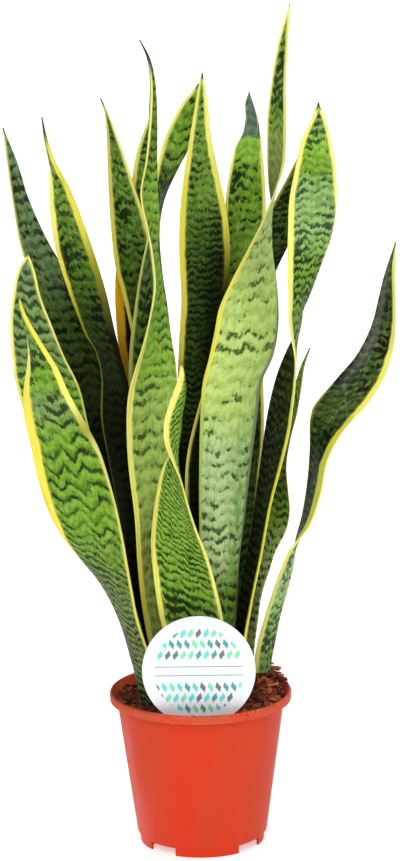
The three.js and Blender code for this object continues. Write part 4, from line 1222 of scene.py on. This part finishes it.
# The print, in millimetres from the middle of the card.
PRINT_RADIUS = 34
PRINT_SOFTNESS = 0.2
BAND_HALF = 8.5
RULE_UP = 3.4
RULE_REACH = 33
CELL_WIDTH, CELL_HEIGHT = 5.8, 8.4
LOZENGE_HALF = (2.3, 4.1)
LOZENGE_LEAN = 0.32
INKS = [linear(34, 150, 142), linear(72, 214, 210), linear(122, 218, 168), linear(88, 96, 100)]

card = bmesh.new()
bmesh.ops.create_circle(card, cap_ends=True, radius=LABEL_RADIUS, segments=LABEL_SIDES)
stand_up = Matrix.Translation(LABEL_CENTRE) @ Matrix.Rotation(pi / 2, 4, "X")
bmesh.ops.transform(card, matrix=stand_up, verts=card.verts)
foot = [
    edge for edge in card.edges
    if all(vert.co.z < LABEL_CENTRE.z for vert in edge.verts)
    and all(abs(vert.co.x - LABEL_CENTRE.x) < STAKE_WIDTH / 2 for vert in edge.verts)
]
for height, half in ((STAKE_SHOULDER, STAKE_WIDTH / 2), (STAKE_TIP, STAKE_POINT)):
    grown = bmesh.ops.extrude_edge_only(card, edges=foot)["geom"]
    foot = pick(grown, bmesh.types.BMEdge)
    ends = pick(grown, bmesh.types.BMVert)
    widest = max(abs(vert.co.x - LABEL_CENTRE.x) for vert in ends)
    for vert in ends:
        vert.co.x = LABEL_CENTRE.x + (vert.co.x - LABEL_CENTRE.x) * half / widest
        vert.co.z = height
bmesh.ops.recalc_face_normals(card, faces=card.faces)
bmesh.ops.solidify(card, geom=card.faces[:], thickness=LABEL_THICKNESS)
bmesh.ops.recalc_face_normals(card, faces=card.faces)
low = min(vert.co.y for vert in card.verts)
high = max(vert.co.y for vert in card.verts)
bmesh.ops.translate(card, vec=(0, LABEL_CENTRE.y - (low + high) / 2, 0), verts=card.verts)
round_edges(card, CARD_ANGLE, CARD_EDGE)
label = mesh_object("plant_label", card)

card_paint = Finish("label_card", {"Roughness": 0.42})


def within(value, limit):
    """1 inside the limit and 0 outside it, with a soft edge."""
    return card_paint.step(value, limit + PRINT_SOFTNESS, limit - PRINT_SOFTNESS)


label_x, label_y, label_z = card_paint.split(card_paint.place())
right = label_x - LABEL_CENTRE.x / MM
up = label_z - LABEL_CENTRE.z / MM
row = card_paint.maths("FLOOR", up / CELL_HEIGHT)
stagger = card_paint.maths("FLOORED_MODULO", row, 2) * 0.5
cell = right / CELL_WIDTH + stagger
column = card_paint.maths("FLOOR", cell)
in_x = (cell - column - 0.5) * CELL_WIDTH
in_y = (up / CELL_HEIGHT - row - 0.5) * CELL_HEIGHT
lean = (stagger * 4 - 1) * LOZENGE_LEAN
half_across, half_up = LOZENGE_HALF
lozenge = abs(in_x - in_y * lean) / half_across + abs(in_y) / half_up
from_middle = card_paint.maths("SQRT", right * right + up * up)
inside = within(from_middle, PRINT_RADIUS)
off_band = card_paint.step(abs(up), BAND_HALF - PRINT_SOFTNESS, BAND_HALF + PRINT_SOFTNESS)
which = card_paint.node(
    "ShaderNodeTexWhiteNoise", {"noise_dimensions": "2D"},
    {"Vector": card_paint.vector(column + 0.5, row + 0.5, 0)},
)
faces_front = card_paint.step(label_y, LABEL_CENTRE.y / MM - 0.2, LABEL_CENTRE.y / MM - 0.4)
inked = card_paint.step(lozenge, 1.05, 0.9) * inside * off_band * faces_front
ink = INKS[0]
for place, colour in enumerate(INKS[1:], start=1):
    share = place / len(INKS)
    ink = card_paint.mix(ink, colour, card_paint.step(which, share - 0.01, share))
rule = card_paint.step(abs(abs(up) - RULE_UP), 0.42, 0.25)
rule = rule * within(abs(right), RULE_REACH) * faces_front
smudge = card_paint.noise(card_paint.place(), size=18, detail=3)
white = card_paint.mix(CARD_WHITE, CARD_SHADE, smudge)
card_face = card_paint.mix(white, ink, inked * 0.92)
card_paint.show("Base Color", card_paint.mix(card_face, INKS[3], rule * 0.8))
card_paint.bump(card_paint.noise(card_paint.place(), size=7, detail=2), 0.15 * MM, 0.3)
label.data.materials.append(card_paint.material)
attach(label, "root")
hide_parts("label_tag")
